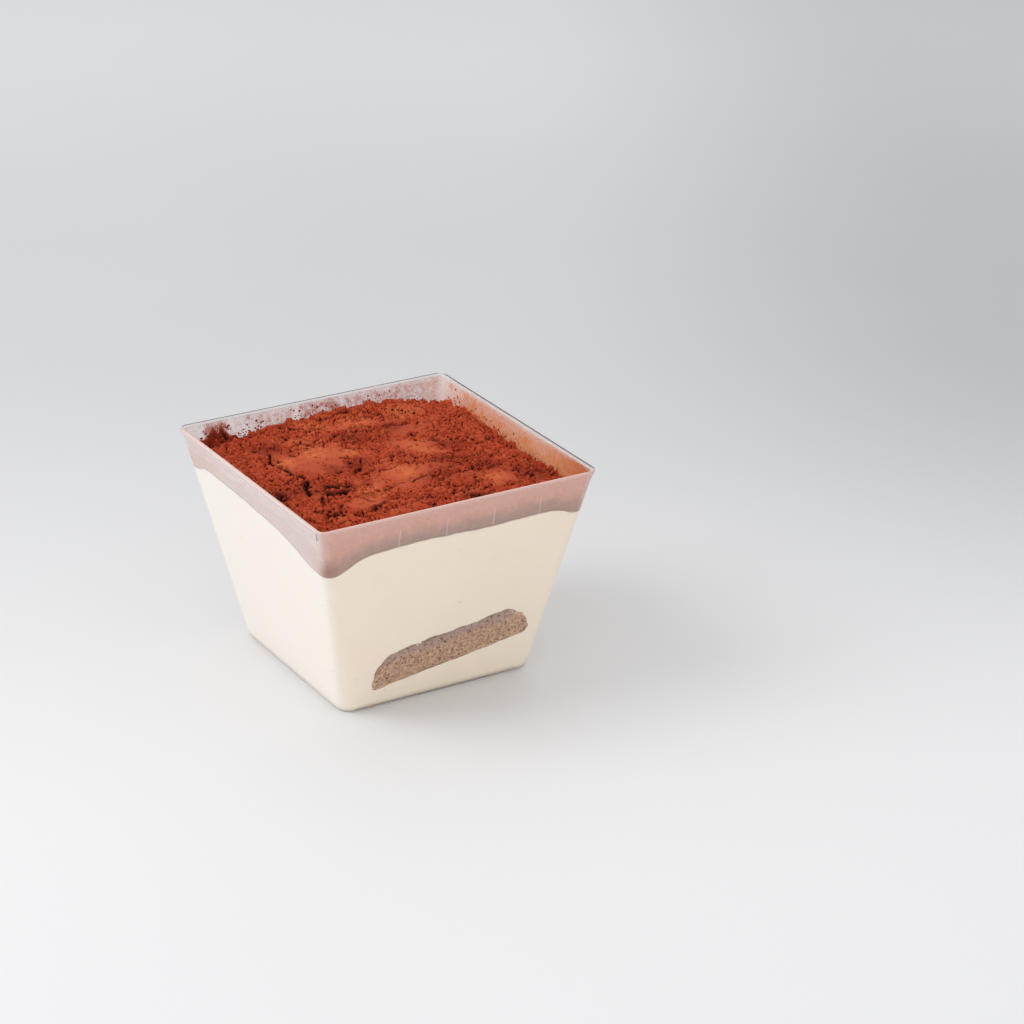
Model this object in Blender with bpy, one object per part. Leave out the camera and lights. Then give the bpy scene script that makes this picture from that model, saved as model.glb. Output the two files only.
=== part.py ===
"""A square clear cup filled with tiramisu: cup, cream, sponge and cocoa, each a solid of its own.

Metres, +Z up. The origin is at the middle of the cup's base. The wall against which the sponge
shows clearest faces -Y, and the wall to its left faces -X.
"""

import math

import bmesh
import bpy
from mathutils import Matrix, Vector, noise

# The cup: a thin clear shell, wider at the rim than at the base
RIM_SIDE = 0.0760
BASE_SIDE = 0.0529
HEIGHT = 0.0550
WALL = 0.0008
FLOOR = 0.0010
LIP_PROUD = 0.00035
LIP_HEIGHT = 0.0012
EDGE_CHAMFER = 0.0002
RIM_CORNER_RADIUS = 0.0022
BASE_CORNER_RADIUS = 0.0040
FOOT_RADIUS = 0.0012
FLOOR_FILLET = 0.0016
ARC_STEPS = 6
FILLET_STEPS = 3

# The stacking lugs: shallow pads on the inside of each wall, rooted a little way into it
LUGS_PER_WALL = 5
LUG_WIDTH = 0.0064
LUG_PITCH = 0.0128
LUG_TOP_BELOW_RIM = 0.0041
LUG_HEIGHT = 0.0060
LUG_PROUD = 0.00045
LUG_ROOT = 0.0004
ROOM_OVER_LUG = 0.0015

# Room left between solids that touch on the real pudding
GAP = 0.0003

# The cream: its level in the middle, how it rises along X and along Y, and its slow waves
CREAM_LEVEL = 0.0472
CREAM_RISE_X = 0.003
CREAM_RISE_Y = 0.027
CREAM_WAVE = 0.0004
CREAM_WAVELENGTH = 0.018
CREAM_STEPS = 20

# How the cream sinks into each corner: the corner, the depth, and the spread along X and Y
CREAM_CORNERS = (
    ((-1, -1), 0.0043, 0.0070, 0.0165),
    ((1, -1), 0.0021, 0.0050, 0.0070),
    ((-1, 1), 0.0024, 0.0080, 0.0060),
    ((1, 1), 0.0022, 0.0080, 0.0080),
)

# The cocoa: a crumbly layer over the cream, a little lower in each corner
COCOA_LEVEL = 0.0507
COCOA_CORNER_DROP = 0.0017
COCOA_CORNER_SPREAD = 0.007
COCOA_STEPS = 52
LEAST_COCOA = 0.0012
HIGHEST_COCOA = 0.0517

# The cocoa's relief: broad swells, lumps, and a crust cracked into plates
SWELL = 0.0008
SWELL_LENGTH = 0.016
LUMP = 0.0010
LUMP_LENGTH = 0.0034
LUMP_OCTAVES = 3
PLATE_SIZE = 0.0125
CRACK_DEPTH = 0.0010
CRACK_REACH = 0.16
CRACK_BEND = 0.0016

# The sponge: a slab that runs from the -Y wall to the +Y wall, rises towards +X and is narrower above
SPONGE_WIDTH = 0.0415
SPONGE_THICKNESS = 0.0090
SPONGE_EDGE_RADIUS = 0.0028
SPONGE_TAPER = 0.09
SPONGE_EDGE_STEPS = 3
SPONGE_X = 0.0018
SPONGE_Z = 0.0131
SPONGE_TILT = math.radians(8.5)
SPONGE_RELIEF = 0.0006
SPONGE_GRAIN = 0.0050
SPONGE_CUTS_X = 9
SPONGE_CUTS_Y = 17
SPONGE_CUTS_Z = 1
LONG_EDGE = 0.003

# Without a seed, the clock shifts vector noise anew in every run
NOISE_SEED = 1796090808

# Colours of the four materials
CLEAR_COLOUR = (0.93, 0.94, 0.95)
CREAM_COLOUR = (0.87, 0.75, 0.58)
SPONGE_COLOUR = (0.43, 0.27, 0.15)
COCOA_COLOUR = (0.32, 0.07, 0.022)


def clear_scene():
    for obj in list(bpy.data.objects):
        bpy.data.objects.remove(obj, do_unlink=True)


# Sizes of the cup and of the cavity that its walls leave


def lean():
    """How far a wall leans out for each metre up."""
    return (RIM_SIDE / 2 - LIP_PROUD - BASE_SIDE / 2) / HEIGHT


def outer_half(z):
    return BASE_SIDE / 2 + z * lean()


def outer_radius(z):
    return BASE_CORNER_RADIUS + (RIM_CORNER_RADIUS - BASE_CORNER_RADIUS) * z / HEIGHT


def tuck(radius, rise):
    """How far a rounded bottom edge stands in from the wall at this rise above the bottom."""
    if rise >= radius:
        return 0.0
    return radius - math.sqrt(radius**2 - (radius - rise) ** 2)


def fillet_rises(radius):
    """The rises above the bottom at which a rounded bottom edge has its rings."""
    turns = [math.pi / 2 * step / FILLET_STEPS for step in range(FILLET_STEPS + 1)]
    return [radius * (1 - math.cos(turn)) for turn in turns]


def cavity_half(z, inset=0.0):
    """Half the cavity's side at height z, for a body that keeps this inset off walls and floor."""
    return outer_half(z) - WALL - inset - tuck(FLOOR_FILLET, z - FLOOR - inset)


def cavity_radius(z, inset=0.0):
    return outer_radius(z) - WALL - inset - tuck(FLOOR_FILLET, z - FLOOR - inset)


# The surfaces of the cream and of the cocoa


def cream_height(x, y):
    """Level in the middle, sunk towards each corner, and slightly wavy."""
    reach = cavity_half(CREAM_LEVEL)
    sunk = 0.0
    for (side_x, side_y), depth, spread_x, spread_y in CREAM_CORNERS:
        away_x = (x - side_x * reach) / spread_x
        away_y = (y - side_y * reach) / spread_y
        sunk += depth * math.exp(-(away_x**2) - away_y**2)
    wave = CREAM_WAVE * noise.noise(Vector((x, y, 0.0)) / CREAM_WAVELENGTH)
    return CREAM_LEVEL + x * CREAM_RISE_X + y * CREAM_RISE_Y - sunk + wave


def crack(spot):
    """1 in a crack between two plates of the crust, falling to 0 beside it."""
    bent = spot + noise.noise_vector(spot / LUMP_LENGTH) * CRACK_BEND
    nearest, second = noise.voronoi(bent / PLATE_SIZE)[0][:2]
    return max(0.0, 1 - (second - nearest) / CRACK_REACH)


def cocoa_height(x, y):
    """A swelling layer, rough with lumps and cracked into plates."""
    spot = Vector((x, y, 0.0))
    reach = cavity_half(COCOA_LEVEL)
    away = math.hypot(reach - abs(x), reach - abs(y)) / COCOA_CORNER_SPREAD
    height = COCOA_LEVEL - COCOA_CORNER_DROP * math.exp(-away * away)
    height += SWELL * noise.noise(spot / SWELL_LENGTH)
    height += LUMP * noise.fractal(spot / LUMP_LENGTH, 1.0, 2.0, LUMP_OCTAVES)
    height -= CRACK_DEPTH * crack(spot)
    lowest = cream_height(x, y) + LEAST_COCOA
    return min(max(height, lowest), HIGHEST_COCOA)


# Materials and objects


def material(name, colour, roughness, alpha=1.0):
    made = bpy.data.materials.new(name)
    made.use_nodes = True
    shader = made.node_tree.nodes["Principled BSDF"]
    shader.inputs["Base Color"].default_value = (*colour, 1.0)
    shader.inputs["Roughness"].default_value = roughness
    shader.inputs["Metallic"].default_value = 0.0
    shader.inputs["Alpha"].default_value = alpha
    return made


def add_object(name, bm, finish=None):
    bmesh.ops.recalc_face_normals(bm, faces=bm.faces)
    mesh = bpy.data.meshes.new(name)
    bm.to_mesh(mesh)
    bm.free()
    if finish:
        mesh.materials.append(finish)
    obj = bpy.data.objects.new(name, mesh)
    bpy.context.scene.collection.objects.link(obj)
    return obj


def add_guide(name, bm):
    """A body that only cuts or joins another, and isn't a piece itself."""
    obj = add_object(name, bm)
    obj.hide_render = True
    obj.display_type = "WIRE"
    return obj


def combine(obj, operation, guide):
    modifier = obj.modifiers.new(operation.lower() + "_" + guide.name, "BOOLEAN")
    modifier.operation = operation
    modifier.solver = "EXACT"
    modifier.object = guide


def close_openings(bm):
    open_edges = [edge for edge in bm.edges if edge.is_boundary]
    bmesh.ops.holes_fill(bm, edges=open_edges)


# The cup


def place_arc_points(face, half, radius, z):
    """Puts the face's corners onto four arcs, so that it is a rounded square of this size."""
    for index, loop in enumerate(face.loops):
        corner, step = divmod(index, ARC_STEPS + 1)
        turn = math.pi / 2 * (corner + step / ARC_STEPS)
        middle = math.pi / 2 * (corner + 0.5)
        x = math.copysign(half - radius, math.cos(middle)) + radius * math.cos(turn)
        y = math.copysign(half - radius, math.sin(middle)) + radius * math.sin(turn)
        loop.vert.co = (x, y, z)


def cup_rings():
    """Half side, corner radius and height of each ring: up the outside and down the inside."""
    rings = []
    for rise in fillet_rises(FOOT_RADIUS):
        inward = tuck(FOOT_RADIUS, rise)
        rings.append((outer_half(rise) - inward, outer_radius(rise) - inward, rise))
    for outward, down in (
        (0.0, LIP_HEIGHT),
        (LIP_PROUD, LIP_HEIGHT - LIP_PROUD),
        (LIP_PROUD, EDGE_CHAMFER),
        (LIP_PROUD - EDGE_CHAMFER, 0.0),
        (EDGE_CHAMFER - WALL, 0.0),
        (-WALL, EDGE_CHAMFER),
    ):
        z = HEIGHT - down
        rings.append((outer_half(z) + outward, outer_radius(z) + outward, z))
    for rise in reversed(fillet_rises(FLOOR_FILLET)):
        z = FLOOR + rise
        rings.append((cavity_half(z), cavity_radius(z), z))
    return rings


def make_cup(finish):
    bm = bmesh.new()
    corners = 4 * (ARC_STEPS + 1)
    bmesh.ops.create_circle(bm, segments=corners, radius=BASE_SIDE / 2, cap_ends=True)
    bm.faces.ensure_lookup_table()
    face = bm.faces[0]
    for number, ring in enumerate(cup_rings()):
        if number:
            face = bmesh.ops.extrude_discrete_faces(bm, faces=[face])["faces"][0]
        place_arc_points(face, *ring)
    close_openings(bm)
    return add_object("cup", bm, finish)


def lug_matrix(wall, number, grown, over):
    """Turns a unit cube into one lug, grown by this much where it shows, and taller by over."""
    along = (number - (LUGS_PER_WALL - 1) / 2) * LUG_PITCH
    z = HEIGHT - LUG_TOP_BELOW_RIM - LUG_HEIGHT / 2 + over / 2
    depth = LUG_ROOT + LUG_PROUD + grown
    out = cavity_half(z) + LUG_ROOT - depth / 2
    turned = Matrix.Rotation(wall * math.pi / 2, 4, "Z") @ Matrix.Translation((along, -out, z))
    leaning = Matrix.Rotation(math.atan(lean()), 4, "X")
    size = (LUG_WIDTH + 2 * grown, depth, LUG_HEIGHT + 2 * grown + over, 1.0)
    return turned @ leaning @ Matrix.Diagonal(size)


def make_lugs(name, grown, over=0.0):
    bm = bmesh.new()
    for wall in range(4):
        for number in range(LUGS_PER_WALL):
            bmesh.ops.create_cube(bm, size=1.0, matrix=lug_matrix(wall, number, grown, over))
    return add_guide(name, bm)


# The sponge


def split_edges_along(bm, axis, cuts):
    """Cuts every long edge that runs along this axis."""
    edges = []
    for edge in bm.edges:
        run = edge.verts[0].co - edge.verts[1].co
        if abs(run[axis]) > LONG_EDGE and abs(run[axis]) > 0.99 * run.length:
            edges.append(edge)
    bmesh.ops.subdivide_edges(bm, edges=edges, cuts=cuts, use_grid_fill=True)


def slab(grown):
    """The crumbly slab in its place, grown by this much, longer than the cup is wide."""
    bm = bmesh.new()
    size = (SPONGE_WIDTH + 2 * grown, RIM_SIDE, SPONGE_THICKNESS + 2 * grown, 1.0)
    bmesh.ops.create_cube(bm, size=1.0, matrix=Matrix.Diagonal(size))
    long_edges = [edge for edge in bm.edges if edge.calc_length() > RIM_SIDE * 0.99]
    bmesh.ops.bevel(
        bm,
        geom=long_edges,
        affect="EDGES",
        offset=SPONGE_EDGE_RADIUS + grown,
        segments=SPONGE_EDGE_STEPS,
        profile=0.5,
    )
    split_edges_along(bm, 0, SPONGE_CUTS_X)
    split_edges_along(bm, 2, SPONGE_CUTS_Z)
    split_edges_along(bm, 1, SPONGE_CUTS_Y)
    for vert in bm.verts:
        vert.co.x *= 1 - SPONGE_TAPER * vert.co.z / (SPONGE_THICKNESS / 2)
        relief = noise.noise_vector(vert.co / SPONGE_GRAIN) * SPONGE_RELIEF
        vert.co += Vector((relief.x, 0.0, relief.z))
    place = Matrix.Translation((SPONGE_X, 0.0, SPONGE_Z)) @ Matrix.Rotation(-SPONGE_TILT, 4, "Y")
    bmesh.ops.transform(bm, matrix=place, verts=bm.verts)
    return bm


def trim_at_wall(bm, side):
    """Cuts the slab off along the inside of the wall on this side of Y, and closes the cut."""
    bmesh.ops.bisect_plane(
        bm,
        geom=bm.verts[:] + bm.edges[:] + bm.faces[:],
        plane_co=(0.0, side * cavity_half(SPONGE_Z, GAP), SPONGE_Z),
        plane_no=(0.0, side, -lean()),
        clear_outer=True,
    )
    close_openings(bm)


def make_sponge(finish):
    bm = slab(0.0)
    trim_at_wall(bm, -1)
    trim_at_wall(bm, 1)
    return add_object("sponge", bm, finish)


# The cream and the cocoa, both on grids whose outer cells follow the cup's rounded corners


def rounded(u, v, half, radius):
    """A point of the square from -1 to 1, moved onto the rounded square of this half side."""
    flat = half - radius
    x, y = abs(u) * half, abs(v) * half
    if x > flat and y > flat:
        a, b = (x - flat) / radius, (y - flat) / radius
        x = flat + radius * a * math.sqrt(1 - b * b / 2)
        y = flat + radius * b * math.sqrt(1 - a * a / 2)
    return math.copysign(x, u), math.copysign(y, v)


def crowded(value, steps):
    """Moves grid lines so that the last two at each end stand in the corner's curve."""
    end_cells = 2
    first = cavity_radius(CREAM_LEVEL) / cavity_half(CREAM_LEVEL)
    even = end_cells * 2 / steps
    if abs(value) > 1 - even:
        return math.copysign(1 - (1 - abs(value)) / even * first, value)
    return value / (1 - even) * (1 - first)


def add_layer(bm, steps, height, lift=0.0):
    """A rounded square sheet over the cavity, at this height function, and its points' places."""
    layer = bm.verts.layers.float_vector.get("square") or bm.verts.layers.float_vector.new("square")
    verts = bmesh.ops.create_grid(bm, x_segments=steps, y_segments=steps, size=1.0)["verts"]
    for vert in verts:
        u, v = crowded(vert.co.x, steps), crowded(vert.co.y, steps)
        vert[layer] = (u, v, 0.0)
        z = height(u * cavity_half(CREAM_LEVEL, GAP), v * cavity_half(CREAM_LEVEL, GAP))
        x, y = rounded(u, v, cavity_half(z, GAP), cavity_radius(z, GAP))
        vert.co = (x, y, z + lift)
    return verts


def make_cream(finish):
    bm = bmesh.new()
    add_layer(bm, CREAM_STEPS, cream_height)
    layer = bm.verts.layers.float_vector["square"]
    copied = bmesh.ops.extrude_face_region(bm, geom=bm.faces[:])["geom"]
    below = [item for item in copied if isinstance(item, bmesh.types.BMFace)]
    face = bmesh.ops.dissolve_faces(bm, faces=below, use_verts=True)["region"][0]
    for number, rise in enumerate(reversed(fillet_rises(FLOOR_FILLET))):
        if number:
            face = bmesh.ops.extrude_discrete_faces(bm, faces=[face])["faces"][0]
        z = FLOOR + GAP + rise
        for loop in face.loops:
            u, v, _ = loop.vert[layer]
            loop.vert.co = (*rounded(u, v, cavity_half(z, GAP), cavity_radius(z, GAP)), z)
    return add_object("cream", bm, finish)


def make_cocoa(finish):
    bm = bmesh.new()
    add_layer(bm, CREAM_STEPS, cream_height, lift=GAP)
    add_layer(bm, COCOA_STEPS, cocoa_height)
    rims = [edge for edge in bm.edges if edge.is_boundary]
    bmesh.ops.bridge_loops(bm, edges=rims)
    return add_object("cocoa", bm, finish)


def main():
    clear_scene()
    noise.seed_set(NOISE_SEED)
    cup = make_cup(material("clear_plastic", CLEAR_COLOUR, 0.05, alpha=0.3))
    cream = make_cream(material("mascarpone_cream", CREAM_COLOUR, 0.45))
    make_sponge(material("soaked_sponge", SPONGE_COLOUR, 0.8))
    cocoa = make_cocoa(material("cocoa_powder", COCOA_COLOUR, 0.95))
    combine(cup, "UNION", make_lugs("lugs", 0.0))
    combine(cream, "DIFFERENCE", add_guide("sponge_room", slab(GAP)))
    lug_room = make_lugs("lug_room", GAP, ROOM_OVER_LUG)
    combine(cream, "DIFFERENCE", lug_room)
    combine(cocoa, "DIFFERENCE", lug_room)


main()
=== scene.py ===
# %% [markdown]
# # A square cup of tiramisu
#
# This lesson dresses a finished CAD model of a pudding. The model gives four closed solids in
# metres, with +Z up: a clear square cup, a filling of cream, a slab of soaked sponge and a layer of
# cocoa powder. Their sizes are right, but they look like plaster. Each step below makes one piece
# or one finish again with the detail that the eye expects, and says why it is made that way.
#
# New pieces are made in the model's own metres and axes, so nothing has to be fitted afterwards.

# %% Load the model
import math
import random

import bmesh
import bpy
import numpy as np
from mathutils import Matrix, Vector, noise


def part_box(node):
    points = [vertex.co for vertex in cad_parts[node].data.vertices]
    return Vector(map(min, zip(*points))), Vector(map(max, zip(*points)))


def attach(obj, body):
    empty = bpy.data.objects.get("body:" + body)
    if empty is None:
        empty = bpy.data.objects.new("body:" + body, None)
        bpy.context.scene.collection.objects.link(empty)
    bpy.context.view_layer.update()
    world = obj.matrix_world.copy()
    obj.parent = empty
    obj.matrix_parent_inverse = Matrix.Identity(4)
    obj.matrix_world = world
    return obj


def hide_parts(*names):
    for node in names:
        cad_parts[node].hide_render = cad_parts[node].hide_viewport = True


# Without a seed, the clock shifts vector noise anew in every run. The CAD model has this seed too.
NOISE_SEED = 1796090808

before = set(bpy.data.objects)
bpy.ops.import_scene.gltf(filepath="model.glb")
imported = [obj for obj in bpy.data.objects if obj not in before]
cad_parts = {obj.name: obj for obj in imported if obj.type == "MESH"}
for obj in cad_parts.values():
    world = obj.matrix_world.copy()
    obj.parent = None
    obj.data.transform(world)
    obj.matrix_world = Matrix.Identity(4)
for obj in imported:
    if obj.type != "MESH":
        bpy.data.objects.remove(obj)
noise.seed_set(NOISE_SEED)
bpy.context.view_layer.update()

# %% [markdown]
# ## Measures of the cup
#
# Every piece here touches the cup, so the cup's shape comes first. Its walls lean out evenly from
# the base to the rim, and its corners are rounded. Two short functions give half the cavity's side
# and the radius of its corners at any height. An inset above 0 keeps a piece off the wall. What
# fills clear plastic has an inset below 0: it reaches just into the wall, because a thin film of
# air between the two would show as a mirror.

# %% The cup's driving sizes
RIM_SIDE = 0.0760
BASE_SIDE = 0.0529
HEIGHT = 0.0550
WALL = 0.0008
FLOOR = 0.0010
LIP_PROUD = 0.00035
LIP_HEIGHT = 0.0032
RIM_CORNER_RADIUS = 0.0022
BASE_CORNER_RADIUS = 0.0040
FLOOR_FILLET = 0.0016
INTO_WALL = -0.00025
LEAN = (RIM_SIDE / 2 - LIP_PROUD - BASE_SIDE / 2) / HEIGHT


def step(value, low, high):
    """0 below low, 1 above high, smooth between."""
    share = min(1.0, max(0.0, (value - low) / (high - low)))
    return share * share * (3 - 2 * share)


def between(pair, share):
    """The value at this share of the way from the first of a pair to the second."""
    return pair[0] + (pair[1] - pair[0]) * share


def outer_half(z):
    return BASE_SIDE / 2 + z * LEAN


def outer_radius(z):
    return BASE_CORNER_RADIUS + (RIM_CORNER_RADIUS - BASE_CORNER_RADIUS) * z / HEIGHT


def tuck(radius, rise):
    """How far a rounded bottom edge stands in from the wall at this rise above the bottom."""
    if rise >= radius:
        return 0.0
    return radius - math.sqrt(radius**2 - (radius - rise) ** 2)


def cavity_half(z, inset=0.0):
    return outer_half(z) - WALL - inset - tuck(FLOOR_FILLET, z - FLOOR - inset)


def cavity_radius(z, inset=0.0):
    return outer_radius(z) - WALL - inset - tuck(FLOOR_FILLET, z - FLOOR - inset)


def rounded(u, v, half, radius):
    """A point of the square from -1 to 1, moved onto the rounded square of this half side."""
    flat = half - radius
    x, y = abs(u) * half, abs(v) * half
    if x > flat and y > flat:
        a, b = (x - flat) / radius, (y - flat) / radius
        x = flat + radius * a * math.sqrt(1 - b * b / 2)
        y = flat + radius * b * math.sqrt(1 - a * a / 2)
    return math.copysign(x, u), math.copysign(y, v)


cup_low, cup_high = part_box("cup")
print(f"the walls lean {LEAN:.4f}, and the CAD cup is {cup_high.x - cup_low.x:.4f} m wide")

# %% [markdown]
# ## The camera
#
# A photograph of a thing with straight edges gives its own viewing angle: the corners of the cup
# were matched to find where the lens stood, how far it was turned and how far it was tipped. The
# camera is set from those few angles and distances, so the render lines up with the picture. Its
# lens is long, which keeps the cup's edges nearly parallel.

# %% Set the camera
VIEW_AZIMUTH = -0.54389
VIEW_ELEVATION = 0.41443
VIEW_ROLL = -0.008693
VIEW_DISTANCE = 0.75643
VIEW_SHIFT_RIGHT = 0.031465
VIEW_SHIFT_DOWN = -0.026461
VIEW_CENTRE = Vector((0.0, 0.0, 0.009))
SENSOR_WIDTH = 36.0
FOCAL_LENGTH = 106.27
NEAREST_SEEN = 0.01


def make_camera():
    level = math.cos(VIEW_ELEVATION)
    back = Vector((
        math.sin(VIEW_AZIMUTH) * level,
        -math.cos(VIEW_AZIMUTH) * level,
        math.sin(VIEW_ELEVATION),
    ))
    right = (-back).cross(Vector((0.0, 0.0, 1.0))).normalized()
    up = back.cross(right)
    facing = Matrix((right, up, back)).transposed()
    turned = facing @ Matrix.Rotation(VIEW_ROLL, 3, "Z").transposed()
    lens = bpy.data.cameras.new("camera")
    lens.sensor_width = SENSOR_WIDTH
    lens.lens = FOCAL_LENGTH
    lens.clip_start = NEAREST_SEEN
    camera = bpy.data.objects.new("camera", lens)
    place = VIEW_DISTANCE * back + VIEW_CENTRE
    place += turned @ Vector((VIEW_SHIFT_RIGHT, -VIEW_SHIFT_DOWN, 0.0))
    camera.matrix_world = Matrix.Translation(place) @ turned.to_4x4()
    bpy.context.scene.collection.objects.link(camera)
    bpy.context.scene.camera = camera
    return camera


camera = make_camera()
print("camera stands at", [round(value, 3) for value in camera.matrix_world.translation])

# %% [markdown]
# ## Helpers for meshes
#
# A bmesh is Blender's mesh for editing: its operators extrude, bridge, bevel and cut. When a piece
# is ready, it is written to an ordinary mesh at the origin, gets its finish, and rides on the cup's
# body. Boolean modifiers do the cuts between pieces, with the manifold solver, which gives a closed
# result without slivers. They are applied at once, so that what is seen is what is kept.

# %% Helpers for meshes


def add_object(name, bm, finish=None, smooth=True):
    """Turns the faces outwards and makes an object of the bmesh, which is then freed."""
    bmesh.ops.recalc_face_normals(bm, faces=bm.faces)
    mesh = bpy.data.meshes.new(name)
    bm.to_mesh(mesh)
    bm.free()
    if smooth:
        mesh.shade_smooth()
    if finish:
        mesh.materials.append(finish)
    obj = bpy.data.objects.new(name, mesh)
    bpy.context.scene.collection.objects.link(obj)
    return obj


def verts_of(items):
    """The vertices among what an operator made."""
    return [item for item in items if isinstance(item, bmesh.types.BMVert)]


def rim_of(items):
    """The edges among these that still have a face on one side only."""
    return [item for item in items if isinstance(item, bmesh.types.BMEdge) and item.is_boundary]


def combine(obj, operation, guide):
    """Joins or cuts obj with a guide body, keeps the result and removes the guide."""
    modifier = obj.modifiers.new("combine", "BOOLEAN")
    modifier.operation = operation
    modifier.solver = "MANIFOLD"
    modifier.object = guide
    graph = bpy.context.evaluated_depsgraph_get()
    done = bpy.data.meshes.new_from_object(obj.evaluated_get(graph))
    obj.modifiers.clear()
    obj.data = done
    bpy.data.objects.remove(guide)


def keep_piece(obj, slot, *nodes):
    """Lets a finished piece ride with the cup, in place of its CAD nodes. Its slot is not used."""
    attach(obj, "root")
    if nodes:
        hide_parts(*nodes)
    obj.data.calc_loop_triangles()
    print(f"{obj.name}: {len(obj.data.loop_triangles)} triangles")


# %% [markdown]
# ## Helpers for finishes
#
# A finish is a tree of shader nodes. Wiring it by hand is long and hard to read, so a small class
# wraps a node's output and lets it be used in sums. Adding two wires adds a Math node, and
# multiplying does too. The Recipe class makes every other node through one method.

# %% Shader maths written as sums


class Wire:
    """One output of a node, which takes part in sums as a number would."""

    def __init__(self, recipe, socket):
        self.recipe = recipe
        self.socket = socket

    def math(self, operation, first, second=0.0):
        return self.recipe.node("ShaderNodeMath", {"operation": operation}, {0: first, 1: second})

    def __add__(self, other):
        return self.math("ADD", self, other)

    def __sub__(self, other):
        return self.math("SUBTRACT", self, other)

    def __rsub__(self, other):
        return self.math("SUBTRACT", other, self)

    def __mul__(self, other):
        return self.math("MULTIPLY", self, other)

    def __truediv__(self, other):
        return self.math("DIVIDE", self, other)

    def __pow__(self, other):
        return self.math("POWER", self, other)

    def __abs__(self):
        return self.math("ABSOLUTE", self)

    __radd__ = __add__
    __rmul__ = __mul__

    def least(self, other):
        return self.math("MINIMUM", self, other)

    def most(self, other):
        return self.math("MAXIMUM", self, other)

    def ramp(self, low, high):
        """0 below low, 1 above high, and smooth between them."""
        sockets = {"Value": self, "From Min": low, "From Max": high}
        settings = {"interpolation_type": "SMOOTHSTEP"}
        return self.recipe.node("ShaderNodeMapRange", settings, sockets)


class Recipe:
    """A material and its node tree."""

    def __init__(self, name):
        self.material = bpy.data.materials.new(name)
        self.material.use_nodes = True
        self.tree = self.material.node_tree
        self.shader = self.tree.nodes["Principled BSDF"]
        self.place = self.node("ShaderNodeTexCoord", output="Object")

    def plug(self, socket, value):
        if isinstance(value, Wire):
            self.tree.links.new(value.socket, socket)
        elif isinstance(value, tuple) and len(socket.default_value) == 4:
            socket.default_value = (*value, 1.0)
        else:
            socket.default_value = value

    def node(self, kind, settings=None, sockets=None, output=0):
        made = self.tree.nodes.new(kind)
        for name, value in (settings or {}).items():
            setattr(made, name, value)
        for key, value in (sockets or {}).items():
            self.plug(made.inputs[key], value)
        return Wire(self, made.outputs[output])

    def attribute(self, name, output="Fac"):
        return self.node("ShaderNodeAttribute", {"attribute_name": name}, output=output)

    def axis(self, letter):
        return self.node("ShaderNodeSeparateXYZ", sockets={0: self.place}, output=letter)

    def axes(self):
        """The place along X, Y and Z, in metres."""
        return [self.axis(letter) for letter in "XYZ"]

    def noise(self, size, detail=2.0, roughness=0.5, place=None):
        """Soft noise with features of this size in metres, from 0 to 1."""
        sockets = {
            "Vector": place or self.place,
            "Scale": 1 / size,
            "Detail": detail,
            "Roughness": roughness,
        }
        return self.node("ShaderNodeTexNoise", sockets=sockets)

    def cells(self, size, feature="F1", output="Distance", place=None):
        """Cells of this size in metres: the distance from their middles, or each one's colour."""
        sockets = {"Vector": place or self.place, "Scale": 1 / size}
        return self.node("ShaderNodeTexVoronoi", {"feature": feature}, sockets, output)

    def mix(self, share, first, second):
        """A colour between two others."""
        sockets = {0: share, 6: first, 7: second}
        return self.node("ShaderNodeMix", {"data_type": "RGBA"}, sockets, 2)

    def coats(self, colour, *coats):
        """A colour under a few coats of others. Each coat gives its cover and its colour."""
        for cover, coat in coats:
            colour = self.mix(cover, colour, coat)
        return colour

    def bump(self, height, depth, strength=1.0):
        """Bends the light over a relief of this depth in metres."""
        sockets = {"Height": height, "Distance": depth, "Strength": strength}
        return self.node("ShaderNodeBump", sockets=sockets)

    def set(self, **values):
        """Sets the shader's sockets. An underscore in a name stands for a space."""
        for name, value in values.items():
            self.plug(self.shader.inputs[name.replace("_", " ")], value)

    def surface(self, shader):
        output = self.tree.nodes["Material Output"]
        self.tree.links.new(shader.socket, output.inputs["Surface"])


# %% [markdown]
# ## Floor and light
#
# The pudding stands on a plain pale floor in a bright room. The light is very even: most of it
# comes from the white room on all sides, and one wide window high on the left makes the cup's left
# wall the brightest. The floor matters more than it seems: clear plastic has little colour of its
# own, and what it mirrors here is the floor. So the floor is given painted shade, a slow change
# from pale to grey, mixed along two fixed directions of the floor, towards the back and towards
# the right.

# %% Floor, lamp and world
FLOOR_SIDE = 6.0
FLOOR_BELOW = 0.00005
FLOOR_COLOUR = (0.755, 0.755, 0.76)
# The grey of the painted shade far from the pudding, and where that shade falls
FLOOR_SHADED_AWAY = (0.435, 0.44, 0.45)
FLOOR_GREYS_AWAY = (-0.12, 0.24)
FLOOR_PALES_AWAY = (0.3, 0.6)
FLOOR_RIGHT_AWAY = (-0.05, 0.2)
FLOOR_RIGHT_ACROSS = (0.02, 0.2)
FLOOR_CLOUD = 0.12
WORLD_COLOUR = (0.985, 0.99, 1.0)
WORLD_STRENGTH = 0.945
WINDOW_PLACE = (-0.82, 0.40, 0.85)
WINDOW_WIDTH = 0.7
WINDOW_POWER = 5.8


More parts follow.
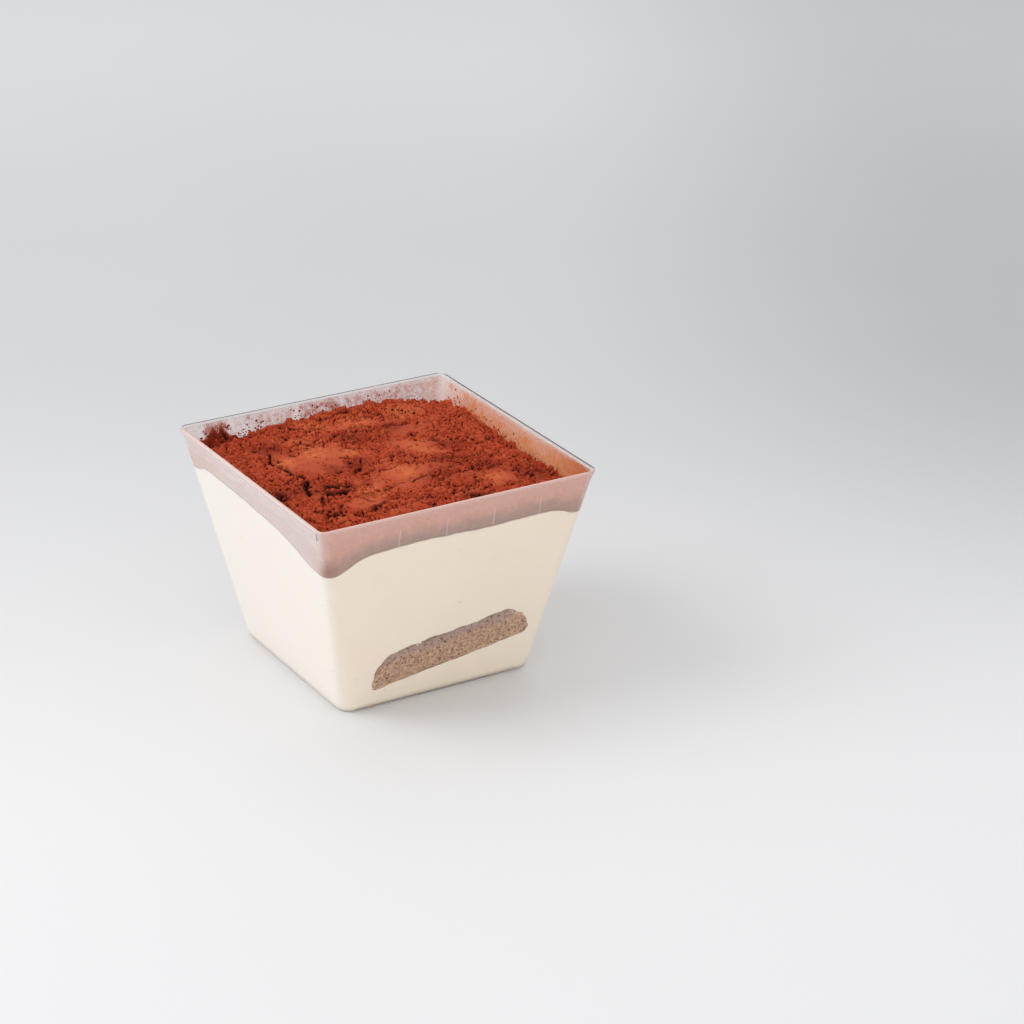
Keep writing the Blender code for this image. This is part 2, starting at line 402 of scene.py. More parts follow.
def make_floor():
    """Pale in front, with painted shade that greys it behind the pudding and to its right."""
    recipe = Recipe("pale_floor")
    x, y, _ = recipe.axes()
    across = x * math.cos(VIEW_AZIMUTH) + y * math.sin(VIEW_AZIMUTH)
    away = y * math.cos(VIEW_AZIMUTH) - x * math.sin(VIEW_AZIMUTH)
    # Painted shade: greyer away from the camera and towards the right
    grey = away.ramp(*FLOOR_GREYS_AWAY) * 0.62 - away.ramp(*FLOOR_PALES_AWAY) * 0.2
    grey += away.ramp(*FLOOR_RIGHT_AWAY) * across.ramp(*FLOOR_RIGHT_ACROSS) * 0.38
    cloud = recipe.noise(FLOOR_CLOUD, 3.0)
    recipe.set(
        Base_Color=recipe.mix(grey + (cloud - 0.5) * 0.08, FLOOR_COLOUR, FLOOR_SHADED_AWAY),
        Roughness=0.55,
        Specular_IOR_Level=0.3,
    )
    bm = bmesh.new()
    bmesh.ops.create_grid(bm, size=FLOOR_SIDE / 2)
    bmesh.ops.translate(bm, verts=bm.verts, vec=(0.0, 0.0, -FLOOR_BELOW))
    floor = add_object("floor", bm, recipe.material, smooth=False)
    return floor


def add_window():
    """One square lamp that looks at the pudding."""
    lamp = bpy.data.lights.new("window", "AREA")
    lamp.size = WINDOW_WIDTH
    lamp.energy = WINDOW_POWER
    obj = bpy.data.objects.new("window", lamp)
    turned = Vector(WINDOW_PLACE).to_track_quat("Z", "Y").to_matrix().to_4x4()
    obj.matrix_world = Matrix.Translation(WINDOW_PLACE) @ turned
    bpy.context.scene.collection.objects.link(obj)


def make_world():
    world = bpy.data.worlds.new("room")
    world.use_nodes = True
    background = world.node_tree.nodes["Background"]
    background.inputs["Color"].default_value = (*WORLD_COLOUR, 1.0)
    background.inputs["Strength"].default_value = WORLD_STRENGTH
    bpy.context.scene.world = world


make_floor()
make_world()
add_window()
bpy.context.scene.view_settings.view_transform = "Standard"
print("a floor, a soft window and an even sky")

# %% [markdown]
# ## The clear cup
#
# The cup is injection moulded in clear polystyrene, with walls under a millimetre thick, a small
# proud lip and, inside each wall, five shallow lugs that keep stacked cups from jamming. The rim is
# rounded well on the inside, which makes it look as thin as it feels. It could be a box with a
# Solidify modifier, but then the corners could not change their radius on the way up.
# Here one round face is extruded through a list of rings, first up the outside and then down the
# inside, and each ring is a rounded square of its own size. The lugs are bevelled blocks joined on
# by a Boolean, because loose blocks inside glass would show their own faces.

# %% Build the clear cup
ARC_STEPS = 14
FILLET_STEPS = 5
FOOT_RADIUS = 0.0012
RIM_ROUND_OUTSIDE = 0.00022
RIM_ROUND_INSIDE = 0.0008
RIM_STEPS = 5
LIP_STEPS = 4
CUP_SHARP = math.radians(35)
LUGS_PER_WALL = 5
LUG_WIDTH = 0.0064
LUG_PITCH = 0.0128
LUG_TOP_BELOW_RIM = 0.0041
LUG_HEIGHT = 0.0060
LUG_PROUD = 0.00045
LUG_ROOT = 0.0004
LUG_EDGE_ROUND = 0.00012
LUG_EDGE_STEPS = 2


def quarter(steps):
    """Evenly spaced turns from 0 to a quarter of a circle."""
    return [math.pi / 2 * step / steps for step in range(steps + 1)]


def place_arc_points(face, half, radius, z):
    """Puts the face's corners onto four arcs, so that it is a rounded square of this size."""
    for index, loop in enumerate(face.loops):
        corner, step = divmod(index, ARC_STEPS + 1)
        turn = math.pi / 2 * (corner + step / ARC_STEPS)
        middle_turn = math.pi / 2 * (corner + 0.5)
        x = math.copysign(half - radius, math.cos(middle_turn)) + radius * math.cos(turn)
        y = math.copysign(half - radius, math.sin(middle_turn)) + radius * math.sin(turn)
        loop.vert.co = (x, y, z)


def cup_rings():
    """Half side, corner radius and height of each ring: up the outside and down the inside."""
    rings = []
    for turn in quarter(FILLET_STEPS):
        rise = FOOT_RADIUS * (1 - math.cos(turn))
        inward = tuck(FOOT_RADIUS, rise)
        rings.append((-inward, rise))
    for number in range(LIP_STEPS):
        share = number / LIP_STEPS
        rings.append((LIP_PROUD * step(share, 0.0, 1.0), HEIGHT - LIP_HEIGHT * (1 - share)))
    for turn in quarter(RIM_STEPS):
        inward = RIM_ROUND_OUTSIDE * (1 - math.cos(turn))
        rings.append((LIP_PROUD - inward, HEIGHT - RIM_ROUND_OUTSIDE * (1 - math.sin(turn))))
    for turn in quarter(RIM_STEPS):
        outward = RIM_ROUND_INSIDE * (1 - math.sin(turn))
        rings.append((outward - WALL, HEIGHT - RIM_ROUND_INSIDE * (1 - math.cos(turn))))
    sized = [(outer_half(z) + out, outer_radius(z) + out, z) for out, z in rings]
    for turn in reversed(quarter(FILLET_STEPS)):
        z = FLOOR + FLOOR_FILLET * (1 - math.cos(turn))
        sized.append((cavity_half(z), cavity_radius(z), z))
    return sized


def make_cup_shell(finish):
    bm = bmesh.new()
    corners = 4 * (ARC_STEPS + 1)
    bmesh.ops.create_circle(bm, segments=corners, radius=BASE_SIDE / 2, cap_ends=True)
    bm.faces.ensure_lookup_table()
    face = bm.faces[0]
    for number, ring in enumerate(cup_rings()):
        if number:
            face = bmesh.ops.extrude_discrete_faces(bm, faces=[face])["faces"][0]
        place_arc_points(face, *ring)
    bmesh.ops.holes_fill(bm, edges=rim_of(bm.edges))
    return add_object("clear_cup", bm, finish)


def lug_matrix(wall, number):
    """Turns a unit cube into one lug, rooted a little way into its wall."""
    along = (number - (LUGS_PER_WALL - 1) / 2) * LUG_PITCH
    z = HEIGHT - LUG_TOP_BELOW_RIM - LUG_HEIGHT / 2
    depth = LUG_ROOT + LUG_PROUD
    out = cavity_half(z) + LUG_ROOT - depth / 2
    turned = Matrix.Rotation(wall * math.pi / 2, 4, "Z") @ Matrix.Translation((along, -out, z))
    leaning = Matrix.Rotation(math.atan(LEAN), 4, "X")
    return turned @ leaning @ Matrix.Diagonal((LUG_WIDTH, depth, LUG_HEIGHT, 1.0))


def make_lugs():
    bm = bmesh.new()
    for wall in range(4):
        for number in range(LUGS_PER_WALL):
            bmesh.ops.create_cube(bm, size=1.0, matrix=lug_matrix(wall, number))
    bmesh.ops.bevel(
        bm,
        geom=bm.edges[:],
        affect="EDGES",
        offset=LUG_EDGE_ROUND,
        segments=LUG_EDGE_STEPS,
        profile=0.5,
        material=-1,
    )
    return add_object("lugs", bm)


# %% [markdown]
# ## The finish of the plastic
#
# Moulded polystyrene is glossy, with a faint haze from handling. Light lines are painted along its
# rim and high on its upright corners, as painted highlights, a dark line along the outer edge of
# the two far rims, as painted shade, and a soft grey line along its foot: there the plastic is
# mixed with a matt finish in these colours. A mask for each place is a ramp on the distance from
# it. Clear plastic in a path tracer throws a shadow on what is behind it, because lamps are not
# searched for through a bending surface. A Light Path node lets the rays that carry light to the
# filling pass straight through, so the filling is lit as if the thin wall were not there, which is
# very nearly what happens.

# %% Clear plastic
PLASTIC_COLOUR = (0.985, 0.985, 0.99)
PLASTIC_IOR = 1.5
# Colours of the painted highlights along the rim, of the painted dark line on the far rims' outer
# edge, and of the grey line along the foot
RIM_SHEEN_FRONT = (0.74, 0.51, 0.45)
RIM_SHEEN_LEFT = (0.75, 0.60, 0.56)
RIM_SHEEN_FAR = (0.58, 0.565, 0.57)
RIM_SHEEN_DEPTH = (0.0011, 0.0003)
RIM_DARK_LINE = (0.12, 0.075, 0.065)
RIM_EDGE_WIDTH = (0.00065, 0.00040)
RIM_EDGE_DEPTH = (0.0006, 0.0003)
# Where the painted highlight runs down the upright corners
CORNER_SHEEN_RISE = (0.0455, 0.0480)
CORNER_SHEEN_WIDTH = (0.0030, 0.0014)
FOOT_HAZE = (0.60, 0.57, 0.54)
FOOT_HAZE_RISE = (0.0006, 0.0014)
HANDLING_CLOUD = 0.006


def clear_plastic():
    recipe = Recipe("clear_plastic")
    haze = recipe.noise(HANDLING_CLOUD, 4.0, 0.6)
    recipe.set(
        Base_Color=PLASTIC_COLOUR,
        Roughness=0.02 + 0.05 * haze.ramp(0.45, 0.75),
        IOR=PLASTIC_IOR,
        Transmission_Weight=1.0,
    )
    shadow = recipe.node("ShaderNodeLightPath", output="Is Shadow Ray")
    scattered = recipe.node("ShaderNodeLightPath", output="Is Diffuse Ray")
    through = recipe.node("ShaderNodeBsdfTransparent", sockets={"Color": PLASTIC_COLOUR})
    x, y, z = recipe.axes()
    # Where the painted highlights of the rim and corners lie, the painted dark line of the far
    # rims' outer edge, and the grey line of the foot
    far = (x + y).ramp(-0.004, 0.004)
    edge = x.most(y).ramp(*(RIM_SIDE / 2 - width for width in RIM_EDGE_WIDTH))
    edge *= z.ramp(*(HEIGHT - depth for depth in RIM_EDGE_DEPTH))
    foot = 1 - z.ramp(*FOOT_HAZE_RISE)
    near_sheen = recipe.mix((x - y).ramp(-0.001, 0.001), RIM_SHEEN_LEFT, RIM_SHEEN_FRONT)
    matt = recipe.coats(near_sheen, (far, RIM_SHEEN_FAR), (edge, RIM_DARK_LINE), (foot, FOOT_HAZE))
    painted_lines = recipe.node(
        "ShaderNodeBsdfPrincipled",
        sockets={"Base Color": matt, "Roughness": 1.0, "Specular IOR Level": 0.0},
    )
    rim = z.ramp(*(HEIGHT - depth for depth in RIM_SHEEN_DEPTH)) * (0.8 - 0.35 * far)
    outward = abs(x) - y - z * (2 * LEAN)
    corner = outward.ramp(*(BASE_SIDE - width for width in CORNER_SHEEN_WIDTH))
    corner *= z.ramp(*CORNER_SHEEN_RISE)
    rim = rim.most(corner * (0.5 + 0.2 * x.ramp(0.0, 0.01)))
    rim = rim.most(edge * 0.75).most(foot * 0.6)
    clear = Wire(recipe, recipe.shader.outputs[0])
    solid = recipe.node("ShaderNodeMixShader", sockets={0: rim, 1: clear, 2: painted_lines})
    lighting = shadow.most(scattered)
    recipe.surface(recipe.node("ShaderNodeMixShader", sockets={0: lighting, 1: solid, 2: through}))
    return recipe.material


clear_cup = make_cup_shell(clear_plastic())
combine(clear_cup, "UNION", make_lugs())
clear_cup.data.set_sharp_from_angle(angle=CUP_SHARP)
keep_piece(clear_cup, "clear_plastic", "cup")

# %% [markdown]
# ## The cream
#
# The cream was piped in soft and pressed itself smooth against the plastic. Its top is level in the
# middle and sinks towards the corners, where the bag did not reach: that line shows all round the
# cup. A grid with its points lifted by a height function makes the top. The grid's rim is then
# extruded down the walls and round the bottom edge. Small pockets of air stay caught against the
# wall, and little balls cut them out.

# %% Build the cream
CREAM_LEVEL = 0.0472
CREAM_RISE_X = 0.003
CREAM_RISE_Y = 0.027
CREAM_WAVE = 0.0004
CREAM_WAVELENGTH = 0.018
CREAM_RIPPLE = 0.00022
CREAM_RIPPLE_LENGTH = 0.0030
CREAM_SHARP = math.radians(30)

# Where the cream sinks: the corner, the depth, and the spread along X and Y
CREAM_CORNERS = (
    ((-1, -1), 0.0043, 0.0070, 0.0165),
    ((1, -1), 0.0021, 0.0050, 0.0070),
    ((-1, 1), 0.0024, 0.0080, 0.0060),
    ((1, 1), 0.0022, 0.0080, 0.0080),
)
CREAM_STEPS = 56
CREAM_RINGS = 14
AIR_POCKETS_PER_WALL = 12
AIR_POCKET_RADII = (0.00008, 0.00020)
AIR_POCKET_HEIGHTS = (0.006, 0.041)
AIR_POCKET_REACH = 0.85
AIR_POCKET_WIDTHS = (1.0, 1.3)
AIR_POCKET_DEPTH = 0.7


def cream_height(x, y):
    """Level in the middle, sunk towards each corner, and slightly wavy."""
    reach = cavity_half(CREAM_LEVEL)
    sunk = 0.0
    for (side_x, side_y), depth, spread_x, spread_y in CREAM_CORNERS:
        away_x = (x - side_x * reach) / spread_x
        away_y = (y - side_y * reach) / spread_y
        sunk += depth * math.exp(-(away_x**2) - away_y**2)
    wave = CREAM_WAVE * noise.noise(Vector((x, y, 0.0)) / CREAM_WAVELENGTH)
    wave += CREAM_RIPPLE * noise.noise(Vector((x, y, 0.0)) / CREAM_RIPPLE_LENGTH)
    return CREAM_LEVEL + x * CREAM_RISE_X + y * CREAM_RISE_Y - sunk + wave


def cavity_spot(u, v, z, inset=INTO_WALL):
    """The point of the cavity at this height, for a place of the square from -1 to 1."""
    return *rounded(u, v, cavity_half(z, inset), cavity_radius(z, inset)), z


def add_layer(bm, steps, height, inset):
    """A rounded square sheet over the cavity at this height function, keeping its places."""
    vectors = bm.verts.layers.float_vector
    square = vectors.get("square") or vectors.new("square")
    verts = bmesh.ops.create_grid(bm, x_segments=steps, y_segments=steps, size=1.0)["verts"]
    half = cavity_half(CREAM_LEVEL, inset)
    for vert in verts:
        u, v = vert.co.x, vert.co.y
        vert[square] = (u, v, 0.0)
        vert.co = cavity_spot(u, v, height(u * half, v * half), inset)
    return verts


def lower_rim(bm, rim, level):
    """Extrudes an open rim down the wall, to the height that level gives for each place."""
    made = bmesh.ops.extrude_edge_only(bm, edges=rim)["geom"]
    square = bm.verts.layers.float_vector["square"]
    for vert in verts_of(made):
        u, v, _ = vert[square]
        vert.co = cavity_spot(u, v, level(u, v))
    return rim_of(made)


def make_cream(finish):
    bm = bmesh.new()
    add_layer(bm, CREAM_STEPS, cream_height, INTO_WALL)
    rim = rim_of(bm.edges)
    bottom = FLOOR + INTO_WALL
    half = cavity_half(CREAM_LEVEL)
    for ring in range(1, CREAM_RINGS + 1):

        def level(u, v):
            ends = (cream_height(u * half, v * half), bottom + FLOOR_FILLET)
            return between(ends, ring / CREAM_RINGS)

        rim = lower_rim(bm, rim, level)
    for turn in list(reversed(quarter(FILLET_STEPS)))[1:]:
        z = bottom + FLOOR_FILLET * (1 - math.cos(turn))
        rim = lower_rim(bm, rim, lambda u, v: z)
    bmesh.ops.holes_fill(bm, edges=rim)
    return add_object("cream_filling", bm, finish)


def make_air_pockets():
    """Small balls on the inside of the four walls, under the cream's top."""
    rng = random.Random(11)
    bm = bmesh.new()
    for wall in range(4):
        turned = Matrix.Rotation(wall * math.pi / 2, 4, "Z")
        for _ in range(AIR_POCKETS_PER_WALL):
            z = rng.uniform(*AIR_POCKET_HEIGHTS)
            out = cavity_half(z, INTO_WALL)
            along = rng.uniform(-AIR_POCKET_REACH, AIR_POCKET_REACH) * out
            radius = between(AIR_POCKET_RADII, rng.random() ** 2)
            width = radius * rng.uniform(*AIR_POCKET_WIDTHS)
            size = Matrix.Diagonal((width, radius * AIR_POCKET_DEPTH, radius, 1.0))
            matrix = turned @ Matrix.Translation((along, -out, z)) @ size
            bmesh.ops.create_icosphere(bm, subdivisions=2, radius=1.0, matrix=matrix)
    return add_object("air_pockets", bm)


# %% [markdown]
# ## The sponge
#
# A slab of sponge lies low in the cream, tipped a little, and is cut off by the wall on two sides.
# Its open pores show where it is pressed against the plastic. One end is a grid that is rounded
# like the slab's section and extruded to the other end. Every point then moves by a noise, which
# makes the crumbly outline, and the points of the two ends sink in wherever a pore opens. The cream
# has to leave room, so a slightly smaller slab is cut out of it.

# %% Build the sponge
SPONGE_WIDTH = 0.0415
SPONGE_THICKNESS = 0.0090
SPONGE_EDGE_RADIUS = 0.0028
SPONGE_TAPER = 0.09
SPONGE_NOTCH = 0.05
SPONGE_NOTCH_RISE = (0.0012, 0.0021)
SPONGE_X = 0.0018
SPONGE_Z = 0.0131
SPONGE_TILT = math.radians(8.5)
SPONGE_RELIEF = 0.0006
SPONGE_GRAIN = 0.0050
SPONGE_FINE_RELIEF = 0.00025
SPONGE_FINE_GRAIN = 0.0011
SPONGE_STEPS = (230, 50)
SPONGE_CUTS = 24
SPONGE_INTO_WALL = -0.00032
ROOM_SMALLER = 0.0001
ROOM_STEPS = (40, 9)
ROOM_CUTS = 17
PORE_SIZE = 0.00085
PORE_DEPTH = 0.00030
PORE_BENT = 0.35
PORE_SMALLEST = 0.22
PORE_VARIETY = 0.30
PORE_STEEPNESS = 0.7


def slab_section(bm, grown, steps):
    """A rounded rectangle of grid cells in the XZ plane, at the slab's -Y end."""
    width = SPONGE_WIDTH / 2 + grown
    thickness = SPONGE_THICKNESS / 2 + grown
    radius = SPONGE_EDGE_RADIUS + grown
    made = bmesh.ops.create_grid(bm, x_segments=steps[0], y_segments=steps[1], size=1.0)
    for vert in made["verts"]:
        x, z = abs(vert.co.x) * width, abs(vert.co.y) * thickness
        a, b = (x - width + radius) / radius, (z - thickness + radius) / radius
        if a > 0 and b > 0:
            x = width - radius + radius * a * math.sqrt(1 - b * b / 2)
            z = thickness - radius + radius * b * math.sqrt(1 - a * a / 2)
        vert.co = (math.copysign(x, vert.co.x), -RIM_SIDE / 2, math.copysign(z, vert.co.y))


def slab(grown, steps, cuts):
    """The slab with its relief, still level and longer than the cup is wide."""
    bm = bmesh.new()
    slab_section(bm, grown, steps)
    far_end = bmesh.ops.extrude_face_region(bm, geom=bm.faces[:])["geom"]
    bmesh.ops.translate(bm, verts=verts_of(far_end), vec=(0.0, RIM_SIDE, 0.0))
    long_edges = [edge for edge in bm.edges if edge.calc_length() > RIM_SIDE / 2]
    bmesh.ops.subdivide_edges(bm, edges=long_edges, cuts=cuts, use_grid_fill=True)
    for vert in bm.verts:
        narrower = SPONGE_TAPER * vert.co.z / (SPONGE_THICKNESS / 2)
        narrower += SPONGE_NOTCH * step(vert.co.z, *SPONGE_NOTCH_RISE)
        vert.co.x *= 1 - narrower
        relief = noise.noise_vector(vert.co / SPONGE_GRAIN) * SPONGE_RELIEF
        relief += noise.noise_vector(vert.co / SPONGE_FINE_GRAIN) * SPONGE_FINE_RELIEF
        vert.co += Vector((relief.x, 0.0, relief.z))
    return bm


def slab_place():
    return Matrix.Translation((SPONGE_X, 0.0, SPONGE_Z)) @ Matrix.Rotation(-SPONGE_TILT, 4, "Y")


def pore(spot):
    """1 in the middle of an open pore and 0 between the pores, which differ in size."""
    bent = spot + noise.noise_vector(spot / PORE_SIZE) * PORE_SIZE * PORE_BENT
    distance, points = noise.voronoi(bent / PORE_SIZE)
    size = PORE_SMALLEST + PORE_VARIETY * abs(noise.cell(points[0] * 7.0))
    return max(0.0, 1 - distance[0] / size) ** PORE_STEEPNESS


def make_sponge(finish):
    bm = slab(0.0, SPONGE_STEPS, SPONGE_CUTS)
    depth = bm.verts.layers.float.new("under_top")
    hole = bm.verts.layers.float.new("pore")
    for vert in bm.verts:
        vert[depth] = SPONGE_THICKNESS / 2 - vert.co.z
    bmesh.ops.transform(bm, matrix=slab_place(), verts=bm.verts)
    for vert in bm.verts:
        share = vert.co.y / (RIM_SIDE / 2)
        vert.co.y = share * cavity_half(vert.co.z, SPONGE_INTO_WALL)
        if abs(share) > 0.999:
            vert[hole] = pore(vert.co)
            vert.co.y -= share * vert[hole] * PORE_DEPTH
    return add_object("soaked_sponge", bm, finish)


def make_sponge_room():
    bm = slab(-ROOM_SMALLER, ROOM_STEPS, ROOM_CUTS)
    bmesh.ops.transform(bm, matrix=slab_place(), verts=bm.verts)
    return add_object("sponge_room", bm)


# %% [markdown]
# ## Finishes of the cream and the sponge
#
# Whipped mascarpone is pale ivory. Close to, it isn't even: it has slow warm clouds on its front
# wall, and fine streaks where it slid along the plastic. Its left wall, which the window lights, is
# painted a paler and cooler ivory: painted light. The sponge is tan and darker in patches. Its
# pores are painted dark, as painted shade in the holes, and a thin line along its very top is
# darkened with the same colour. Its upper edge has gone grey where cream soaked in.

# %% Cream and sponge finishes
CREAM_COLOUR = (0.99, 0.848, 0.685)
# The paler, cooler ivory of the left wall is painted light from the window
CREAM_LIT_LEFT = (0.935, 0.862, 0.775)
CREAM_WARM = (0.965, 0.81, 0.63)
CREAM_SHADE = (0.93, 0.78, 0.635)
CREAM_SPECK = (0.74, 0.56, 0.38)
SPONGE_LIGHT = (0.68, 0.42, 0.26)
SPONGE_DARK = (0.42, 0.225, 0.135)
# The dark of the pores is painted shade in the holes
SPONGE_PORE_SHADE = (0.15, 0.075, 0.05)
SPONGE_GREY = (0.44, 0.29, 0.245)
CREAM_CLOUD = 0.014
CREAM_STREAK = 0.005
CREAM_STREAK_SQUEEZE = (1.0, 1.0, 3.2)
CREAM_SPECKS_APART = 0.0050
CREAM_SPECK_FIELD = 0.008
CREAM_RELIEF = (0.0035, 0.0002)
SPONGE_CRUMB = 0.0009
SPONGE_PATCH = 0.004
SPONGE_MARGIN = (0.0014, 0.0036)
SPONGE_MARGIN_RAGGED = 0.0012
SPONGE_UPPER_EDGE = 0.0005
SPONGE_FINE_PORE = 0.00075
SPONGE_BUMP = 0.0004


def whipped_cream():
    recipe = Recipe("whipped_cream")
    clouds = recipe.noise(CREAM_CLOUD, 3.0).ramp(0.40, 0.68)
    streaked = recipe.node(
        "ShaderNodeMapping",
        sockets={"Vector": recipe.place, "Scale": CREAM_STREAK_SQUEEZE},
    )
    streaks = recipe.noise(CREAM_STREAK, 5.0, 0.62, streaked).ramp(0.58, 0.80)
    specks = 1 - recipe.cells(CREAM_SPECKS_APART).ramp(0.03, 0.085)
    specks *= recipe.noise(CREAM_SPECK_FIELD).ramp(0.45, 0.6)
    x, y, _ = recipe.axes()
    # The left wall is painted a paler, cooler ivory than the front: painted light from the window
    front = (x - y).ramp(-0.003, 0.003)
    colour = recipe.coats(
        recipe.mix(front, CREAM_LIT_LEFT, CREAM_COLOUR),
        (clouds * front * 0.35, CREAM_WARM),
        (streaks * 0.3, CREAM_SHADE),
        (specks * 0.85, CREAM_SPECK),
    )
    size, depth = CREAM_RELIEF
    recipe.set(
        Base_Color=colour,
        Roughness=0.38 + 0.2 * clouds,
        Subsurface_Weight=0.15,
        Subsurface_Scale=0.0012,
        Subsurface_Radius=(1.0, 0.7, 0.4),
        Normal=recipe.bump(recipe.noise(size, 4.0, 0.55), depth, 0.5),
    )
    return recipe.material


def soaked_sponge():
    recipe = Recipe("soaked_sponge")
    under_top = recipe.attribute("under_top")
    hole = recipe.attribute("pore")
    grain = recipe.noise(SPONGE_CRUMB, 4.0, 0.65)
    patches = recipe.noise(SPONGE_PATCH, 3.0).ramp(0.35, 0.7)
    ragged = SPONGE_MARGIN_RAGGED
    margin_edge = under_top + (grain - 0.5) * ragged + (patches - 0.5) * ragged
    margin = 1 - margin_edge.ramp(*SPONGE_MARGIN)
    # The fine pores and the open pores are painted dark: painted shade in the holes. A thin line
    # along the very top is darkened with the same colour.
    fine_pores = 1 - recipe.cells(SPONGE_FINE_PORE).ramp(0.16, 0.36)
    colour = recipe.coats(
        recipe.mix(grain.ramp(0.35, 0.65), SPONGE_DARK, SPONGE_LIGHT),
        (patches * 0.35, SPONGE_LIGHT),
        (margin * 0.8, SPONGE_GREY),
        ((1 - under_top.ramp(0.0, SPONGE_UPPER_EDGE)) * 0.5, SPONGE_PORE_SHADE),
        (fine_pores * 0.55, SPONGE_PORE_SHADE),
        (hole.ramp(0.15, 0.7), SPONGE_PORE_SHADE),
    )
    recipe.set(
        Base_Color=colour,
        Roughness=0.75,
        Normal=recipe.bump(grain - fine_pores * 0.6, SPONGE_BUMP, 0.8),
    )
    return recipe.material


cream_filling = make_cream(whipped_cream())
combine(cream_filling, "DIFFERENCE", make_sponge_room())
combine(cream_filling, "DIFFERENCE", make_air_pockets())
cream_filling.data.set_sharp_from_angle(angle=CREAM_SHARP)
keep_piece(cream_filling, "cream", "cream")
keep_piece(make_sponge(soaked_sponge()), "sponge", "sponge")

# %% [markdown]
# ## The cocoa: a field of heights
#
# The cocoa was sifted on thick and has clotted. It has broad swells, a few smooth plates of crust,
# long cracks, and crumbs from dust to two millimetres that lie half sunk in one another. Noise
# alone looks like a landscape and not like powder. So the relief is a picture of heights, a quarter
# of a millimetre to a cell, into which thousands of crumbs are pressed one at a time: each raises
# the cells under it to its own dome. Where two domes meet there is a sharp dark crease, as in the
# real powder. NumPy keeps the picture and makes this quick. The tables of places are written in
# millimetres, which are easier to read off a photograph than metres.

# %% The swell of the cocoa
COCOA_LEVEL = 0.0507
COCOA_CORNER_DROP = 0.0017
COCOA_CORNER_SPREAD = 0.007
SWELL = 0.0008
SWELL_LENGTH = 0.016
LUMP = 0.0010
LUMP_LENGTH = 0.0034
LEAST_COCOA = 0.0012
HIGHEST_COCOA = 0.0532
BANK_RAGGED = 0.75
BANK_GRAIN = 0.0014
COCOA_CELLS = 288
BEND = 0.0005
BEND_SIZE = 0.0016


def in_metres(*rows):
    """A table that is written in millimetres."""
    made = []
    for row in rows:
        made.append(in_metres(*row) if isinstance(row, tuple) else round(row / 1000, 7))
    return tuple(made)


# Where the powder banks up or dips: the place, the rise, and the spread along X and Y
COCOA_BANKS = in_metres(
    ((4.0, 36.0), 0.6, 13.0, 6.0),
    ((-20.5, 36.5), -1.4, 4.5, 5.0),
    ((36.5, -4.0), -2.1, 4.0, 25.0),
    ((30.0, 36.5), -1.2, 7.0, 5.0),
    ((-26.8, 36.8), 2.4, 2.0, 1.6),
    ((-30.4, 36.8), 1.7, 3.0, 1.8),
)

# Smooth plates of crust: the middle, the half sizes and the turn
CRUST_PLATES = (
    ((-0.0140, 0.0110), (0.0110, 0.0090), 0.3),
    ((0.0005, -0.0085), (0.0110, 0.0070), -0.4),
    ((-0.0150, -0.0190), (0.0070, 0.0040), 0.2),
    ((0.0200, -0.0205), (0.0055, 0.0045), 0.5),
    ((0.0120, 0.0060), (0.0050, 0.0080), 0.2),
    ((0.0040, 0.0255), (0.0060, 0.0025), 0.1),
    ((0.0150, 0.0170), (0.0070, 0.0040), 0.1),
)

# Spots where the crust turns towards orange: the middle and the spread
ORANGE_SPOTS = in_metres(
    ((-20.5, 13.0), 3.0),
    ((-12.0, 14.0), 4.5),
    ((11.8, 6.4), 3.0),
    ((13.0, 1.0), 3.0),
    ((20.0, -20.5), 4.0),
    ((-11.0, -13.0), 4.0),
    ((2.0, -7.0), 4.0),
    ((6.0, 26.0), 5.0),
    ((-12.0, 20.5), 4.0),
    ((-4.5, 29.0), 3.5),
    ((20.0, 28.5), 4.5),
    ((-4.0, 12.0), 3.5),
)

# Spots where the powder is painted darker; at the clump by the far wall they are painted shade
DARK_SPOTS = in_metres(
    ((21.0, -12.0), 5.0),
    ((28.5, -21.5), 6.5),
    ((21.0, 3.0), 4.0),
    ((14.0, -4.5), 4.0),
    ((12.0, 20.0), 4.5),
    ((-12.0, 3.5), 3.0),
    ((-7.0, 3.0), 2.8),
    ((-17.0, -8.0), 3.2),
    ((-30.0, 33.5), 3.4),
    ((-28.2, 36.2), 3.6),
    ((-28.0, -5.0), 4.5),
    ((-20.0, -8.0), 4.0),
    ((-20.5, 22.5), 5.5),
    ((1.0, 18.5), 4.5),
    ((-5.0, 4.5), 3.5),
    ((8.0, -12.5), 4.5),
)

